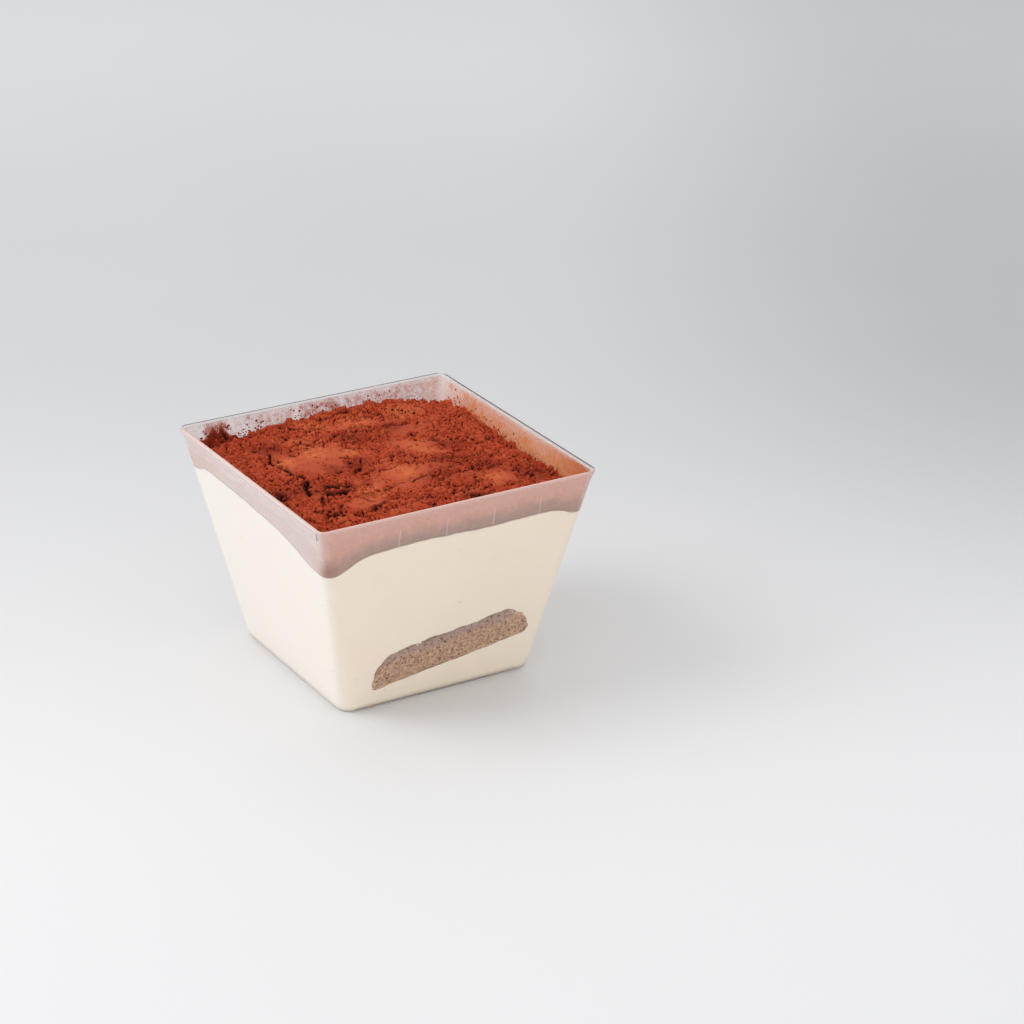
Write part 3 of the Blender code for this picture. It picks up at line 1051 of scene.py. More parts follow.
# Cracks and dark clefts: the depth, the half width and the points that each runs through
CRACKS = in_metres(
    (1.8, 0.4, ((-21.7, 19.8), (-24.0, 14.9), (-23.2, 11.5), (-22.8, 5.6))),
    (2.0, 0.4, ((-22.8, 5.6), (-21.5, 1.4), (-21.8, -0.9))),
    (2.2, 0.6, ((-21.8, -0.9), (-23.4, -2.9), (-24.2, -7.4))),
    (1.5, 0.35, ((-22.9, -10.6), (-24.9, -15.2))),
    (1.2, 0.45, ((-13.2, -8.8), (-10.7, -9.2), (-9.0, -8.2))),
    (0.9, 0.28, ((-3.7, -12.1), (0.3, -12.6), (5.6, -10.7))),
    (0.8, 0.28, ((-16.1, -15.0), (-14.3, -16.5), (-13.3, -19.0))),
    (1.0, 0.35, ((-20.6, -16.2), (-22.8, -19.7), (-23.0, -23.2))),
    (1.6, 0.55, ((-15.9, -23.7), (-13.6, -22.2), (-10.9, -20.8))),
    (0.9, 0.35, ((-7.0, -22.1), (-2.4, -22.8), (1.0, -22.3))),
    (0.9, 0.35, ((-6.7, 21.7), (-1.3, 20.7), (4.4, 20.1), (15.1, 21.5))),
    (1.4, 0.5, ((-12.6, 32.5), (-8.7, 33.0))),
    (1.3, 0.45, ((-0.6, 32.6), (3.4, 32.6), (8.7, 35.0))),
    (1.3, 0.55, ((15.9, -4.4), (21.2, -6.4), (26.7, -6.5))),
    (1.3, 0.45, ((20.4, -15.1), (24.9, -13.6))),
    (1.3, 0.45, ((27.1, -22.0), (30.8, -21.1), (33.4, -24.1))),
    (1.2, 0.4, ((3.2, -25.1), (6.7, -23.2), (10.9, -22.7), (15.4, -20.3))),
    (1.9, 0.9, ((9.0, -26.5), (12.2, -28.3))),
    (1.0, 0.5, ((-7.3, 9.5), (-5.5, 8.4), (-4.8, 6.0))),
    (0.6, 0.45, ((-3.3, 6.2), (-6.6, 0.9), (-9.9, -1.2))),
    (1.9, 0.8, ((-18.4, -5.3), (-15.6, -6.9), (-13.7, -7.0))),
    (1.9, 0.8, ((-20.8, -8.8), (-19.2, -10.2), (-15.9, -9.7))),
    (1.8, 0.8, ((-32.6, -2.5), (-30.7, -4.0), (-31.1, -7.7))),
    (1.8, 0.6, ((-26.5, -19.0), (-25.6, -20.9), (-24.4, -20.6))),
    (1.2, 0.5, ((19.3, 9.9), (19.6, 5.5))),
    (1.2, 0.5, ((25.3, 11.9), (27.6, 11.6))),
    (1.2, 0.5, ((10.6, 21.9), (12.9, 21.7), (17.9, 20.4))),
    (2.0, 1.1, ((-32.0, 33.8), (-25.0, 33.8))),
)


def cocoa_swell(x, y):
    """The powder's broad form, without its crumbs."""
    spot = Vector((x, y, 0.0))
    reach = cavity_half(COCOA_LEVEL)
    away = math.hypot(reach - abs(x), reach - abs(y)) / COCOA_CORNER_SPREAD
    height = COCOA_LEVEL - COCOA_CORNER_DROP * math.exp(-away * away)
    height += SWELL * noise.noise(spot / SWELL_LENGTH)
    ragged = 1 + BANK_RAGGED * noise.fractal(spot / BANK_GRAIN, 0.8, 2.0, 3)
    for (bank_x, bank_y), rise, spread_x, spread_y in COCOA_BANKS:
        bank = math.exp(-(((x - bank_x) / spread_x) ** 2) - ((y - bank_y) / spread_y) ** 2)
        height += rise * ragged * bank
    return height


def over_grid(function):
    """A picture of this function of x and y, one value for each corner of the cocoa's cells."""
    return np.array([[function(x, y) for y in axis_places] for x in axis_places])


def ragged_picture(size, layer, roughness=1.0, octaves=3):
    """A picture of noise with features of this size, cut from its own layer of the noise."""

    def value(x, y):
        return noise.fractal(Vector((x, y, layer)) / size, roughness, 2.0, octaves)

    return over_grid(value)


def near_line(points, spread):
    """A picture that is 1 on the line through these points and fades away beside it."""
    nearest = np.full(grid_x.shape, 1.0)
    for (x0, y0), (x1, y1) in zip(points, points[1:]):
        run_x, run_y = x1 - x0, y1 - y0
        along = ((grid_x - x0) * run_x + (grid_y - y0) * run_y) / (run_x**2 + run_y**2)
        along = np.clip(along, 0.0, 1.0)
        away = np.hypot(grid_x - x0 - along * run_x, grid_y - y0 - along * run_y)
        nearest = np.minimum(nearest, away)
    return np.exp(-((nearest / spread) ** 2))


def blurred(picture, cells):
    """The picture, evened out over this many cells each way."""
    for axis in (0, 1):
        shifted = [np.roll(picture, step, axis) for step in range(-cells, cells + 1)]
        picture = sum(shifted) / len(shifted)
    return picture


cocoa_half = cavity_half(COCOA_LEVEL, INTO_WALL)
axis_places = np.linspace(-cocoa_half, cocoa_half, COCOA_CELLS + 1)
cell = axis_places[1] - axis_places[0]
ground = over_grid(cocoa_swell)
bend_x, bend_y = (
    over_grid(lambda x, y: noise.noise(Vector((x, y, layer)) / BEND_SIZE) * BEND)
    for layer in (0.3, 7.7)
)
grid_x = axis_places[:, None] + bend_x
grid_y = axis_places[None, :] + bend_y
print(f"a picture of {len(axis_places)} heights each way, {cell * 1000:.2f} mm apart")

# %% [markdown]
# The crust's plates are ellipses with a ragged limit. They stay smooth, so the crumbs are told to
# keep off them. Round them the crust has broken up into flakes: each point belongs to the nearest
# of many scattered seeds, and each seed has its own height and tilt, which makes flat chips with
# sharp steps between them. A crack is a narrow trench along a line through a few points.

# %% Crust, cracks and flakes
CRUST_LIFT = 0.00012
CRUST_REACH = 1.25
CRUST_RAGGED = 0.75
CRUST_RAGGED_SIZE = 0.0045
CRUST_STEEPNESS = 1.6
CRUST_SMOOTHNESS = 0.88
LUMP_SHARE = 0.6
BROKEN_SIZE = 0.005

# Three sizes of flake: each one's size, how far it rises or tilts, and how deep its edges are cut
FLAKES = ((0.0034, 0.00034, 0.0009), (0.0017, 0.00030, 0.0005), (0.0009, 0.00018, 0.0))
CREVICE_WIDTH = 0.09


def near_spots(spots):
    """A picture that is 1 in the middle of these spots and fades away round them."""
    found = np.zeros(grid_x.shape)
    for (x, y), spread in spots:
        away = np.hypot(grid_x - x, grid_y - y) / spread
        found = np.maximum(found, np.exp(-(away**2)))
    return found


def crust_picture():
    """1 where the crust is smooth and 0 where it is broken, with ragged limits."""
    plates = np.zeros(grid_x.shape)
    for (x, y), (half_x, half_y), turn in CRUST_PLATES:
        along = (grid_x - x) * math.cos(turn) + (grid_y - y) * math.sin(turn)
        across = (grid_y - y) * math.cos(turn) - (grid_x - x) * math.sin(turn)
        away = np.hypot(along / half_x, across / half_y)
        plates = np.maximum(plates, CRUST_REACH - away)
    ragged = ragged_picture(CRUST_RAGGED_SIZE, 1.9, 0.8, 5) * CRUST_RAGGED
    return np.clip((plates + ragged) * CRUST_STEEPNESS, 0.0, 1.0)


def flakes(size, seed):
    """Jagged flakes of this size: each one's height and tilt, and how far its edge is."""
    count = int(2 * cocoa_half / size) + 4
    dice = np.random.default_rng(seed).random((count, count, 5))
    u, v = grid_x / size + count / 2, grid_y / size + count / 2
    nearest, second = np.full(grid_x.shape, 9.0), np.full(grid_x.shape, 9.0)
    level = np.zeros(grid_x.shape)
    for beside_u in (-1, 0, 1):
        for beside_v in (-1, 0, 1):
            row = np.floor(u).astype(int) + beside_u
            column = np.floor(v).astype(int) + beside_v
            thrown = np.moveaxis(dice[row % count, column % count], -1, 0)
            away_u, away_v = u - row - thrown[0], v - column - thrown[1]
            away = np.hypot(away_u, away_v)
            tilt = (thrown[3] - 0.5) * away_u + (thrown[4] - 0.5) * away_v
            level = np.where(away < nearest, thrown[2] * 2 - 1 + 2 * tilt, level)
            second = np.minimum(second, np.maximum(away, nearest))
            nearest = np.minimum(nearest, away)
    return level, second - nearest


crust = crust_picture()
orange = near_spots(ORANGE_SPOTS) - near_spots(DARK_SPOTS)
rough = 1 - CRUST_SMOOTHNESS * crust
lumps = ragged_picture(LUMP_LENGTH, 0.0)
bed = ground + LUMP * LUMP_SHARE * lumps * (1 - 0.6 * crust) + CRUST_LIFT * crust
broken = np.clip(ragged_picture(BROKEN_SIZE, 5.5) * 2.2 + 0.25, 0.0, 1.0) * (1 - 0.8 * crust)
crevices = np.zeros(bed.shape)
for number, (flake_size, flake_rise, crack_depth) in enumerate(FLAKES):
    flake_level, to_edge = flakes(flake_size, number)
    bed += flake_rise * rough * flake_level
    crevices += crack_depth * broken * np.exp(-((to_edge / CREVICE_WIDTH) ** 2))
print(f"crust covers {crust.mean():.0%} of the top")

# %% [markdown]
# Now the crumbs. Their sizes follow the powder's own rule: very many small ones and few large. Each
# has its own squeeze, turn, height and shade of colour, and they are larger towards the far walls,
# where the sifted powder rolled. That shade goes into a second picture, so that each crumb keeps
# its own colour. The cracks are cut last. A trench as narrow as they are catches little shade in so
# coarse a picture, so how dark each point is, in a dip or in a crack, is kept in a third one: the
# finish paints it on as painted shade, and paints lighter, as a painted highlight, where a point
# stands out.

# %% Press the crumbs in
CRUMBS = 12000
CRUMB_RADII = (0.00018, 0.00090)
CRUMB_RARITY = 5.0
CRUMB_FLATNESS = 0.7
CRUMB_SQUEEZE = (0.55, 1.0)
CRUMB_CORNER = (0.6, 0.8)
CRUMB_SUNK = (-0.5, 0.15)
CRUMB_TILT = 0.35
CRUMB_STEEPNESS = 2.5
FAR_BAND = 0.82
CRUMBS_LARGER_FAR = 1.1
CRUMBS_SMALLER_NEAR = 0.7
FINE_SIZE = 0.0007
FINE = 0.00008
SUNK_DEPTH = 0.00020
SUNK_FADES_AT_WALL = 0.04
CRACK_SHADE = 0.8
CRACK_BLACK_DEPTH = 0.0018
CRACK_OPEN = 0.65
CRACK_SPREAD = 0.28


def nearest_cell(x, y):
    """The row and column of the cell corner nearest to this place."""
    places = (round((value + cocoa_half) / cell) for value in (x, y))
    return tuple(min(max(place, 0), COCOA_CELLS) for place in places)


def press_crumb(heights, shades, spot, radius, rng):
    """Raises the cells around this spot to one angular crumb's top, and gives them its shade."""
    reach = int(radius / cell) + 2
    row, column = nearest_cell(*spot)
    rows = slice(max(0, row - reach), row + reach + 1)
    columns = slice(max(0, column - reach), column + reach + 1)
    turn, squeeze = rng.uniform(0, math.pi), rng.uniform(*CRUMB_SQUEEZE)
    away_x = grid_x[rows, columns] - spot[0]
    away_y = grid_y[rows, columns] - spot[1]
    along = away_x * math.cos(turn) + away_y * math.sin(turn)
    across = (away_y * math.cos(turn) - away_x * math.sin(turn)) / squeeze
    away = np.maximum(np.abs(along), np.abs(across))
    away = np.maximum(away, np.abs(along + across) * rng.uniform(*CRUMB_CORNER)) / radius
    sunk = rng.uniform(*CRUMB_SUNK) * radius
    top = bed[row, column] + sunk + along * rng.uniform(-CRUMB_TILT, CRUMB_TILT)
    top += CRUMB_FLATNESS * radius * np.clip((1 - away) * CRUMB_STEEPNESS, 0, 1)
    wins = (away < 1) & (top > heights[rows, columns])
    heights[rows, columns] = np.where(wins, top, heights[rows, columns])
    shades[rows, columns] = np.where(wins, rng.random(), shades[rows, columns])


def press_crumbs():
    rng = random.Random(4)
    heights = bed.copy()
    shades = np.full(bed.shape, 0.5)
    for _ in range(CRUMBS):
        x, y = (rng.uniform(-cocoa_half, cocoa_half) for _ in range(2))
        smoothness = crust[nearest_cell(x, y)]
        by_far_wall = max(x, y) / cocoa_half > FAR_BAND
        larger = CRUMBS_LARGER_FAR if by_far_wall else CRUMBS_SMALLER_NEAR
        radius = between(CRUMB_RADII, rng.random() ** CRUMB_RARITY * larger)
        if rng.random() < smoothness * 0.95:
            continue
        press_crumb(heights, shades, (x, y), radius * (1 - 0.5 * smoothness), rng)
    return heights, shades


cocoa_heights, crumb_shades = press_crumbs()
fine = ragged_picture(FINE_SIZE, 3.1, 0.8) * FINE
cocoa_heights += fine * (1 - 0.4 * crust) - crevices
crack_shade = np.zeros(bed.shape)
for crack_depth, crack_width, crack_points in CRACKS:
    trench = near_line(crack_points, crack_width)
    cocoa_heights -= crack_depth * CRACK_OPEN * trench
    blackness = min(1.0, crack_depth / CRACK_BLACK_DEPTH)
    crack_shade = np.maximum(crack_shade, trench**CRACK_SPREAD * blackness)
cream_floor = over_grid(cream_height)
cocoa_heights = np.clip(cocoa_heights, cream_floor + LEAST_COCOA, HIGHEST_COCOA)
# How far each point lies below its neighbours, with the cracks' darkness on top: it steers the
# painted shade in hollows and cracks and the painted highlight where a point stands out
hollow_and_crack_shade = blurred(cocoa_heights, 3) * 0.5 + blurred(cocoa_heights, 1) * 0.5 - cocoa_heights
outward = np.abs(axis_places)
to_wall = 1 - np.maximum(outward[:, None], outward[None, :]) / cocoa_half
hollow_and_crack_shade = np.clip(hollow_and_crack_shade / SUNK_DEPTH, -1.0, 1.0)
hollow_and_crack_shade *= np.clip(to_wall / SUNK_FADES_AT_WALL, 0.0, 1.0)
hollow_and_crack_shade = np.maximum(hollow_and_crack_shade, crack_shade * CRACK_SHADE)
print(f"cocoa from {cocoa_heights.min() * 1000:.1f} to {cocoa_heights.max() * 1000:.1f} mm")

# %% [markdown]
# The picture becomes a mesh: a grid takes its heights, and its rim is extruded down the plastic
# to the cream line. A coarse sheet just above the cream closes it underneath. How deep each point
# lies, its crumb's shade, the crust and the orange spots are kept on the points, and so is how far
# down the side a point is, for the finish to read.

# %% Build the cocoa
COCOA_RINGS = 7
UNDER_STEPS = 24
UNDER_INSET = 0.0004
UNDER_LIFT = 0.00005


def make_cocoa(finish):
    # The sunk picture steers painted shade and painted highlight in the finish
    pictures = {"sunk": hollow_and_crack_shade, "shade": crumb_shades, "crust": crust, "orange": orange}
    bm = bmesh.new()
    square = bm.verts.layers.float_vector.new("square")
    layers = {name: bm.verts.layers.float.new(name) for name in (*pictures, "side")}
    steps = {"x_segments": COCOA_CELLS, "y_segments": COCOA_CELLS}
    for vert in bmesh.ops.create_grid(bm, size=1.0, **steps)["verts"]:
        u, v = vert.co.x, vert.co.y
        here = round((u + 1) / 2 * COCOA_CELLS), round((v + 1) / 2 * COCOA_CELLS)
        vert[square] = (u, v, 0.0)
        for name, picture in pictures.items():
            vert[layers[name]] = picture[here]
        vert.co = cavity_spot(u, v, cocoa_heights[here])
    rim = rim_of(bm.edges)
    tops = {vert[square][:2]: vert.co.z for edge in rim for vert in edge.verts}
    half = cavity_half(CREAM_LEVEL)
    for ring in range(1, COCOA_RINGS + 1):
        share = ring / COCOA_RINGS

        def level(u, v):
            return between((tops[u, v], cream_height(u * half, v * half)), share)

        rim = lower_rim(bm, rim, level)
        for vert in {vert for edge in rim for vert in edge.verts}:
            vert[layers["side"]] = share
    under = add_layer(bm, UNDER_STEPS, lambda x, y: cream_height(x, y) + UNDER_LIFT, UNDER_INSET)
    under_rim = {edge for vert in under for edge in rim_of(vert.link_edges)}
    bmesh.ops.bridge_loops(bm, edges=rim + list(under_rim))
    return add_object("cocoa_crust", bm, finish)


# %% [markdown]
# ## The finish of the cocoa
#
# Dry cocoa is matt. Its hollows, small holes and cracks are painted nearly black, as painted shade,
# and what stands out is painted lighter, as a painted highlight. Its crumbs are a warm red brown,
# and where the crust is smooth and thin it turns towards orange. Some spots are painted darker, and
# at the clump by the far wall that is painted shade. The depth, each crumb's shade of colour and
# the crust that the mesh carries steer the colour, and two fine noises add the grain that is
# smaller than a cell.

# %% Cocoa finish
COCOA_BODY = (0.435, 0.053, 0.0205)
COCOA_LIGHT = (0.66, 0.110, 0.041)
# The next two colours are a painted highlight where the powder stands out and painted shade in
# hollows, small holes and cracks
COCOA_RIDGE_HIGHLIGHT = (0.85, 0.180, 0.072)
COCOA_HOLLOW_SHADE = (0.024, 0.0030, 0.0018)
COCOA_CRUST = (0.515, 0.098, 0.045)
COCOA_ORANGE = (0.76, 0.196, 0.070)
# Darker spots, heaped crumbs and wall flecks; at the clump by the far wall this is painted shade
COCOA_DARK_AND_SHADE = (0.19, 0.021, 0.010)
COCOA_SIDE = (0.47, 0.105, 0.052)
COCOA_SIDE_LOW = (0.38, 0.075, 0.038)
COCOA_GRAIN = 0.00045
COCOA_SPECKLE = 0.0014
COCOA_PATCH = 0.009
COCOA_PIT = 0.0011
COCOA_BUMP = 0.00055


def cocoa_powder():
    recipe = Recipe("cocoa_powder")
    names = ("sunk", "shade", "crust", "orange", "side")
    sunk, shade, crusted, orange_spot, side = (recipe.attribute(name) for name in names)
    grain = recipe.noise(COCOA_GRAIN, 3.0, 0.6)
    speckle = recipe.noise(COCOA_SPECKLE, 4.0, 0.6)
    patches = recipe.noise(COCOA_PATCH, 3.0, 0.55).ramp(0.35, 0.65)
    lighter = shade * 0.8 + speckle * 0.7 + patches * 0.2 - 0.5
    # Darker spots, heaped crumbs and wall flecks: at the clump by the far wall this is painted
    # shade
    dark_and_shade = (0 - orange_spot).most(0 - shade).ramp(0.0, 1.0)
    # A painted highlight where a point stands out, and painted shade in hollows, small holes and
    # cracks
    ridge_highlight = (0 - sunk - (grain - 0.5) * 0.4).ramp(0.15, 1.0)
    pit_shade = (1 - recipe.cells(COCOA_PIT).ramp(0.10, 0.30)) * speckle.ramp(0.44, 0.58)
    pit_shade *= 1 - 0.75 * crusted
    hollow_shade = (sunk + (grain - 0.5) * 0.6 - 0.08).ramp(0.0, 0.8).most(pit_shade * 0.75)
    pressed = recipe.mix(side * 0.7 + (speckle - 0.5) * 0.8, COCOA_SIDE, COCOA_SIDE_LOW)
    colour = recipe.coats(
        recipe.mix(lighter, COCOA_BODY, COCOA_LIGHT),
        (crusted * (0.5 + 0.4 * grain), COCOA_CRUST),
        (orange_spot * speckle.ramp(0.2, 0.65) * 0.75, COCOA_ORANGE),
        (dark_and_shade * (0.32 + 0.6 * speckle), COCOA_DARK_AND_SHADE),
        (ridge_highlight * 0.62, COCOA_RIDGE_HIGHLIGHT),
        (hollow_shade, COCOA_HOLLOW_SHADE),
        (side.ramp(0.0, 0.12), pressed),
    )
    recipe.set(
        Base_Color=colour,
        Roughness=0.95,
        Specular_IOR_Level=0.08,
        Normal=recipe.bump(grain + speckle * 0.5, COCOA_BUMP),
    )
    return recipe.material


cocoa_finish = cocoa_powder()
keep_piece(make_cocoa(cocoa_finish), "cocoa", "cocoa")

# %% [markdown]
# ## Loose crumbs
#
# A height picture can't hang over itself, so the larger crumbs also lie on it as small solids that
# throw true shadows. A few different shapes are made once: balls with few faces, pushed about by a
# noise. Each crumb is one of them, turned and scaled at random, and all are joined into one mesh.
# Thousands of separate objects would look the same and be slow to keep.

# %% Make the crumb shapes
CRUMB_SHAPES = 6
COARSE_PUSH = 1.1
FINE_PUSH = 2.7


def crumb_shape(seed, subdivisions, roughness):
    """A mesh of one angular crumb of unit size."""
    bm = bmesh.new()
    bmesh.ops.create_icosphere(bm, subdivisions=subdivisions, radius=1.0)
    for vert in bm.verts:
        push = noise.noise(vert.co * COARSE_PUSH + Vector((seed * 5.0, 0.0, 0.0)))
        push += 0.5 * noise.noise(vert.co * FINE_PUSH + Vector((0.0, seed * 5.0, 0.0)))
        vert.co *= 1 + roughness * push
    mesh = bpy.data.meshes.new("crumb_shape")
    bm.to_mesh(mesh)
    bm.free()
    mesh.attributes.new("shade", "FLOAT", "POINT")
    return mesh


def scatter(name, shapes, matrices, shades, finish, smooth):
    """Joins one turned copy of a shape for each matrix into one piece."""
    bm = bmesh.new()
    bm.verts.layers.float.new("shade")
    for matrix, shade, shape in zip(matrices, shades, shapes):
        shape.transform(matrix)
        shape.attributes["shade"].data.foreach_set("value", [shade] * len(shape.vertices))
        bm.from_mesh(shape)
        shape.transform(matrix.inverted())
    return add_object(name, bm, finish, smooth)


print(f"{CRUMB_SHAPES} shapes of crumb, each in as many sizes as are asked for")

# %% Scatter the crumbs and grains
LOOSE_ROUGHNESS = 0.55
LOOSE_REACH = 0.985
LOOSE_WIDTHS = (0.7, 1.0)
LOOSE_HEIGHT = 0.75
LOOSE_LIFT = (-0.2, 0.3)
HEAP_SHARE = 0.14
HEAP_MIDDLE = (-0.0278, 0.0350)
HEAP_SPREAD = (0.0030, 0.0008)

# The two loose pieces: the name, how many, their radii, how rare the large ones are, how finely
# each is divided, the share of them that may lie on crust, and the seed of their random draws
LOOSE_PIECES = (
    ("loose_crumbs", 2300, (0.00016, 0.00058), 3.0, 2, 0.04, 5),
    ("loose_grains", 9000, (0.00007, 0.00017), 1.5, 1, 0.25, 6),
)


def loose_places(count, radii, rarity, rng, on_crust):
    """A matrix and a shade for each crumb that lies on the cocoa. The heaped ones are darker."""
    matrices, shades = [], []
    limit = cavity_half(COCOA_LEVEL) * LOOSE_REACH
    while len(matrices) < count:
        x, y = (rng.uniform(-limit, limit) for _ in range(2))
        heaped = rng.random() < HEAP_SHARE
        if heaped:
            x, y = (rng.gauss(*pair) for pair in zip(HEAP_MIDDLE, HEAP_SPREAD))
        here = nearest_cell(x, y)
        if rng.random() < crust[here] * (1 - on_crust):
            continue
        radius = between(radii, rng.random() ** rarity)
        if max(abs(x), abs(y)) + radius > limit:
            continue
        turn = Matrix.Rotation(rng.uniform(0, 2 * math.pi), 4, (rng.random(), rng.random(), 1.0))
        width = radius * rng.uniform(*LOOSE_WIDTHS)
        size = Matrix.Diagonal((radius, width, radius * LOOSE_HEIGHT, 1.0))
        z = cocoa_heights[here] + radius * rng.uniform(*LOOSE_LIFT)
        matrices.append(Matrix.Translation((x, y, z)) @ turn @ size)
        shades.append(rng.random() - heaped)
    return matrices, shades


def make_loose_crumbs(name, count, radii, rarity, divisions, on_crust, seed):
    rng = random.Random(seed)
    kinds = [crumb_shape(number, divisions, LOOSE_ROUGHNESS) for number in range(CRUMB_SHAPES)]
    matrices, shades = loose_places(count, radii, rarity, rng, on_crust)
    shapes = [rng.choice(kinds) for _ in matrices]
    return scatter(name, shapes, matrices, shades, cocoa_finish, smooth=False)


for sizes in LOOSE_PIECES:
    keep_piece(make_loose_crumbs(*sizes), "cocoa")

# %% [markdown]
# Some of the powder clings to the two far walls above the crust, in flecks that were pressed flat
# against the plastic. They lie in a few clusters and thin out towards the rim.

# %% Stick flecks to the far walls
FLECKS = 340
FLECK_RADII = (0.00010, 0.00036)
FLECK_RARITY = 2.5
FLECK_WIDTHS = (0.7, 1.3)
FLECK_FLATNESS = 0.35
FLECK_ROUGHNESS = 0.5
FLECK_DARKNESS = 1.1
FLECK_REACH = 0.033
FLECK_BELOW_RIM = 0.0012

# Where the flecks gather: the wall, the middle along it, the spread and the height above the crust
FLECK_CLUSTERS = (
    ("back", -0.0280, 0.0022, 0.0010),
    ("back", -0.0190, 0.0045, 0.0016),
    ("back", -0.0020, 0.0030, 0.0014),
    ("back", 0.0160, 0.0090, 0.0014),
    ("right", 0.0300, 0.0050, 0.0016),
    ("right", 0.0120, 0.0090, 0.0012),
    ("right", -0.0120, 0.0120, 0.0010),
)


def fleck_matrices(rng):
    """One matrix for each fleck, pressed flat on the back wall or the right one."""
    matrices = []
    while len(matrices) < FLECKS:
        wall, middle, spread, rise = rng.choice(FLECK_CLUSTERS)
        along = rng.gauss(middle, spread)
        if abs(along) > FLECK_REACH:
            continue
        flat = cocoa_half * 0.99
        spot = (along, flat) if wall == "back" else (flat, along)
        z = cocoa_heights[nearest_cell(*spot)] + abs(rng.gauss(0.0, rise))
        if z > HEIGHT - FLECK_BELOW_RIM:
            continue
        radius = between(FLECK_RADII, rng.random() ** FLECK_RARITY)
        out = cavity_half(z) - radius * FLECK_FLATNESS * 0.8
        turned = Matrix.Rotation(0.0 if wall == "back" else -math.pi / 2, 4, "Z")
        place = Matrix.Translation((along if wall == "back" else -along, out, z))
        width = radius * rng.uniform(*FLECK_WIDTHS)
        size = Matrix.Diagonal((width, radius * FLECK_FLATNESS, radius, 1.0))
        matrices.append(turned @ place @ size)
    return matrices


def make_wall_flecks():
    rng = random.Random(8)
    kinds = [crumb_shape(number, 1, FLECK_ROUGHNESS) for number in range(CRUMB_SHAPES)]
    matrices = fleck_matrices(rng)
    shapes = [rng.choice(kinds) for _ in matrices]
    shades = [rng.random() - FLECK_DARKNESS for _ in matrices]
    return scatter("wall_flecks", shapes, matrices, shades, cocoa_finish, smooth=True)


keep_piece(make_wall_flecks(), "cocoa")

# %% [markdown]
# ## Dust on the walls
#
# Above and beside the cocoa, the inside of the cup carries a thin film: milky where cream fat and
# fine dust dried on, and pink or orange where more powder sticks. It is a closed skin a fiftieth
# of a millimetre thick. It lies on the wall, but beside the powder of the two near walls it is
# sunk a little into the wall, so that it stays in front of the pressed cocoa. It is built as a
# ring of points that is extruded up the wall and then given its thickness. Each point keeps how
# milky and how dusty its place is, and its own colour. The finish turns them into see-through.

# %% Build the dust film
FILM_SEGMENTS = 640
FILM_ROWS = 22
FILM_IN_WALL = -0.00036
FILM_ON_WALL = 0.00003
FILM_THICKNESS = 0.00002
FILM_RISE = 0.0078
FILM_HEADSPACE = 0.0085
FILM_FOOT = 0.0004
FILM_CELLS_ROUND = 4
FILM_TOP = HEIGHT - 0.0003

# The film's colours in linear light: on the front wall from the cream line up, and on the others
FILM_FRONT_LOW = (0.500, 0.325, 0.272)
FILM_FRONT = (0.765, 0.425, 0.340)
FILM_LEFT_LOW = (0.750, 0.610, 0.560)
FILM_LEFT = (0.745, 0.590, 0.550)
FILM_LEFT_BACK = (0.710, 0.500, 0.435)
FILM_CORNER = (0.42, 0.195, 0.125)
FILM_CORNER_PLACE = (-0.0343, -0.0343, 0.0428)
FILM_CORNER_SPREAD = 0.0022
FILM_MILK = (0.95, 0.775, 0.700)
FILM_VEIL_NEAR = 0.88
FILM_VEIL_FAR = 0.13
FILM_STARTS = (-0.0003, 0.0002)
FILM_CLOUD = 0.006
FILM_WISP = 0.0022
FILM_WISP_SHARE = 0.14
FILM_BEHIND = (0.008, 0.036)

# Dust on the back wall, which lies in upright bands with clear plastic between them
BACK_DUST = 0.12
BACK_BANDS = (
    (-0.0313, -0.0252, 0.34),
    (-0.0180, -0.0064, 0.10),
    (-0.0046, 0.0070, 0.30),
)
BACK_DUST_END = ((0.0065, 0.0100), 0.17)
BAND_EDGE = 0.0007

# Dust on the right wall: more low down, more towards the front and less towards the back
RIGHT_DUST = 0.52
RIGHT_DUST_LOW = ((-0.001, 0.0032), 0.25)
RIGHT_DUST_FRONT = ((-0.036, -0.010), 0.50)
RIGHT_DUST_BACK = ((0.018, 0.034), 0.75)
DUST_SPOT = 0.0028
DUST_FIELD = 0.009
DUST_BELOW_TOP = 0.0012

# Smears of powder on the two far walls: where each is, its spread and how thick it lies
SMEARS = (
    (-0.0189, 0.0370, 0.0540, 0.0007, 0.7),
    (-0.0152, 0.0372, 0.0542, 0.0007, 0.4),
    (0.0365, 0.0188, 0.0524, 0.0011, 0.4),
    (0.0365, 0.0143, 0.0502, 0.0011, 0.4),
    (0.0365, 0.0060, 0.0514, 0.0010, 0.5),
    (0.0365, -0.0070, 0.0519, 0.0010, 0.4),
    (0.0370, 0.0232, 0.0535, 0.0009, 0.4),
    (0.0370, 0.0310, 0.0537, 0.0009, 0.5),
    (0.0365, 0.0315, 0.0490, 0.0010, 0.4),
)


def ring_places(segments, half, radius):
    """Evenly spaced points round a rounded square, as values from -1 to 1 for the two axes."""
    flat = half - radius
    side, arc = 2 * flat, radius * math.pi / 2
    places = []
    for number in range(segments):
        wall, rest = divmod(number / segments * 4 * (side + arc), side + arc)
        if rest < side:
            x, y = rest - flat, -half
        else:
            turn = (rest - side) / radius
            x, y = flat + radius * math.sin(turn), -flat - radius * math.cos(turn)
        turned = Matrix.Rotation(int(wall) * math.pi / 2, 2) @ Vector((x, y))
        places.append(tuple(turned))
    return places


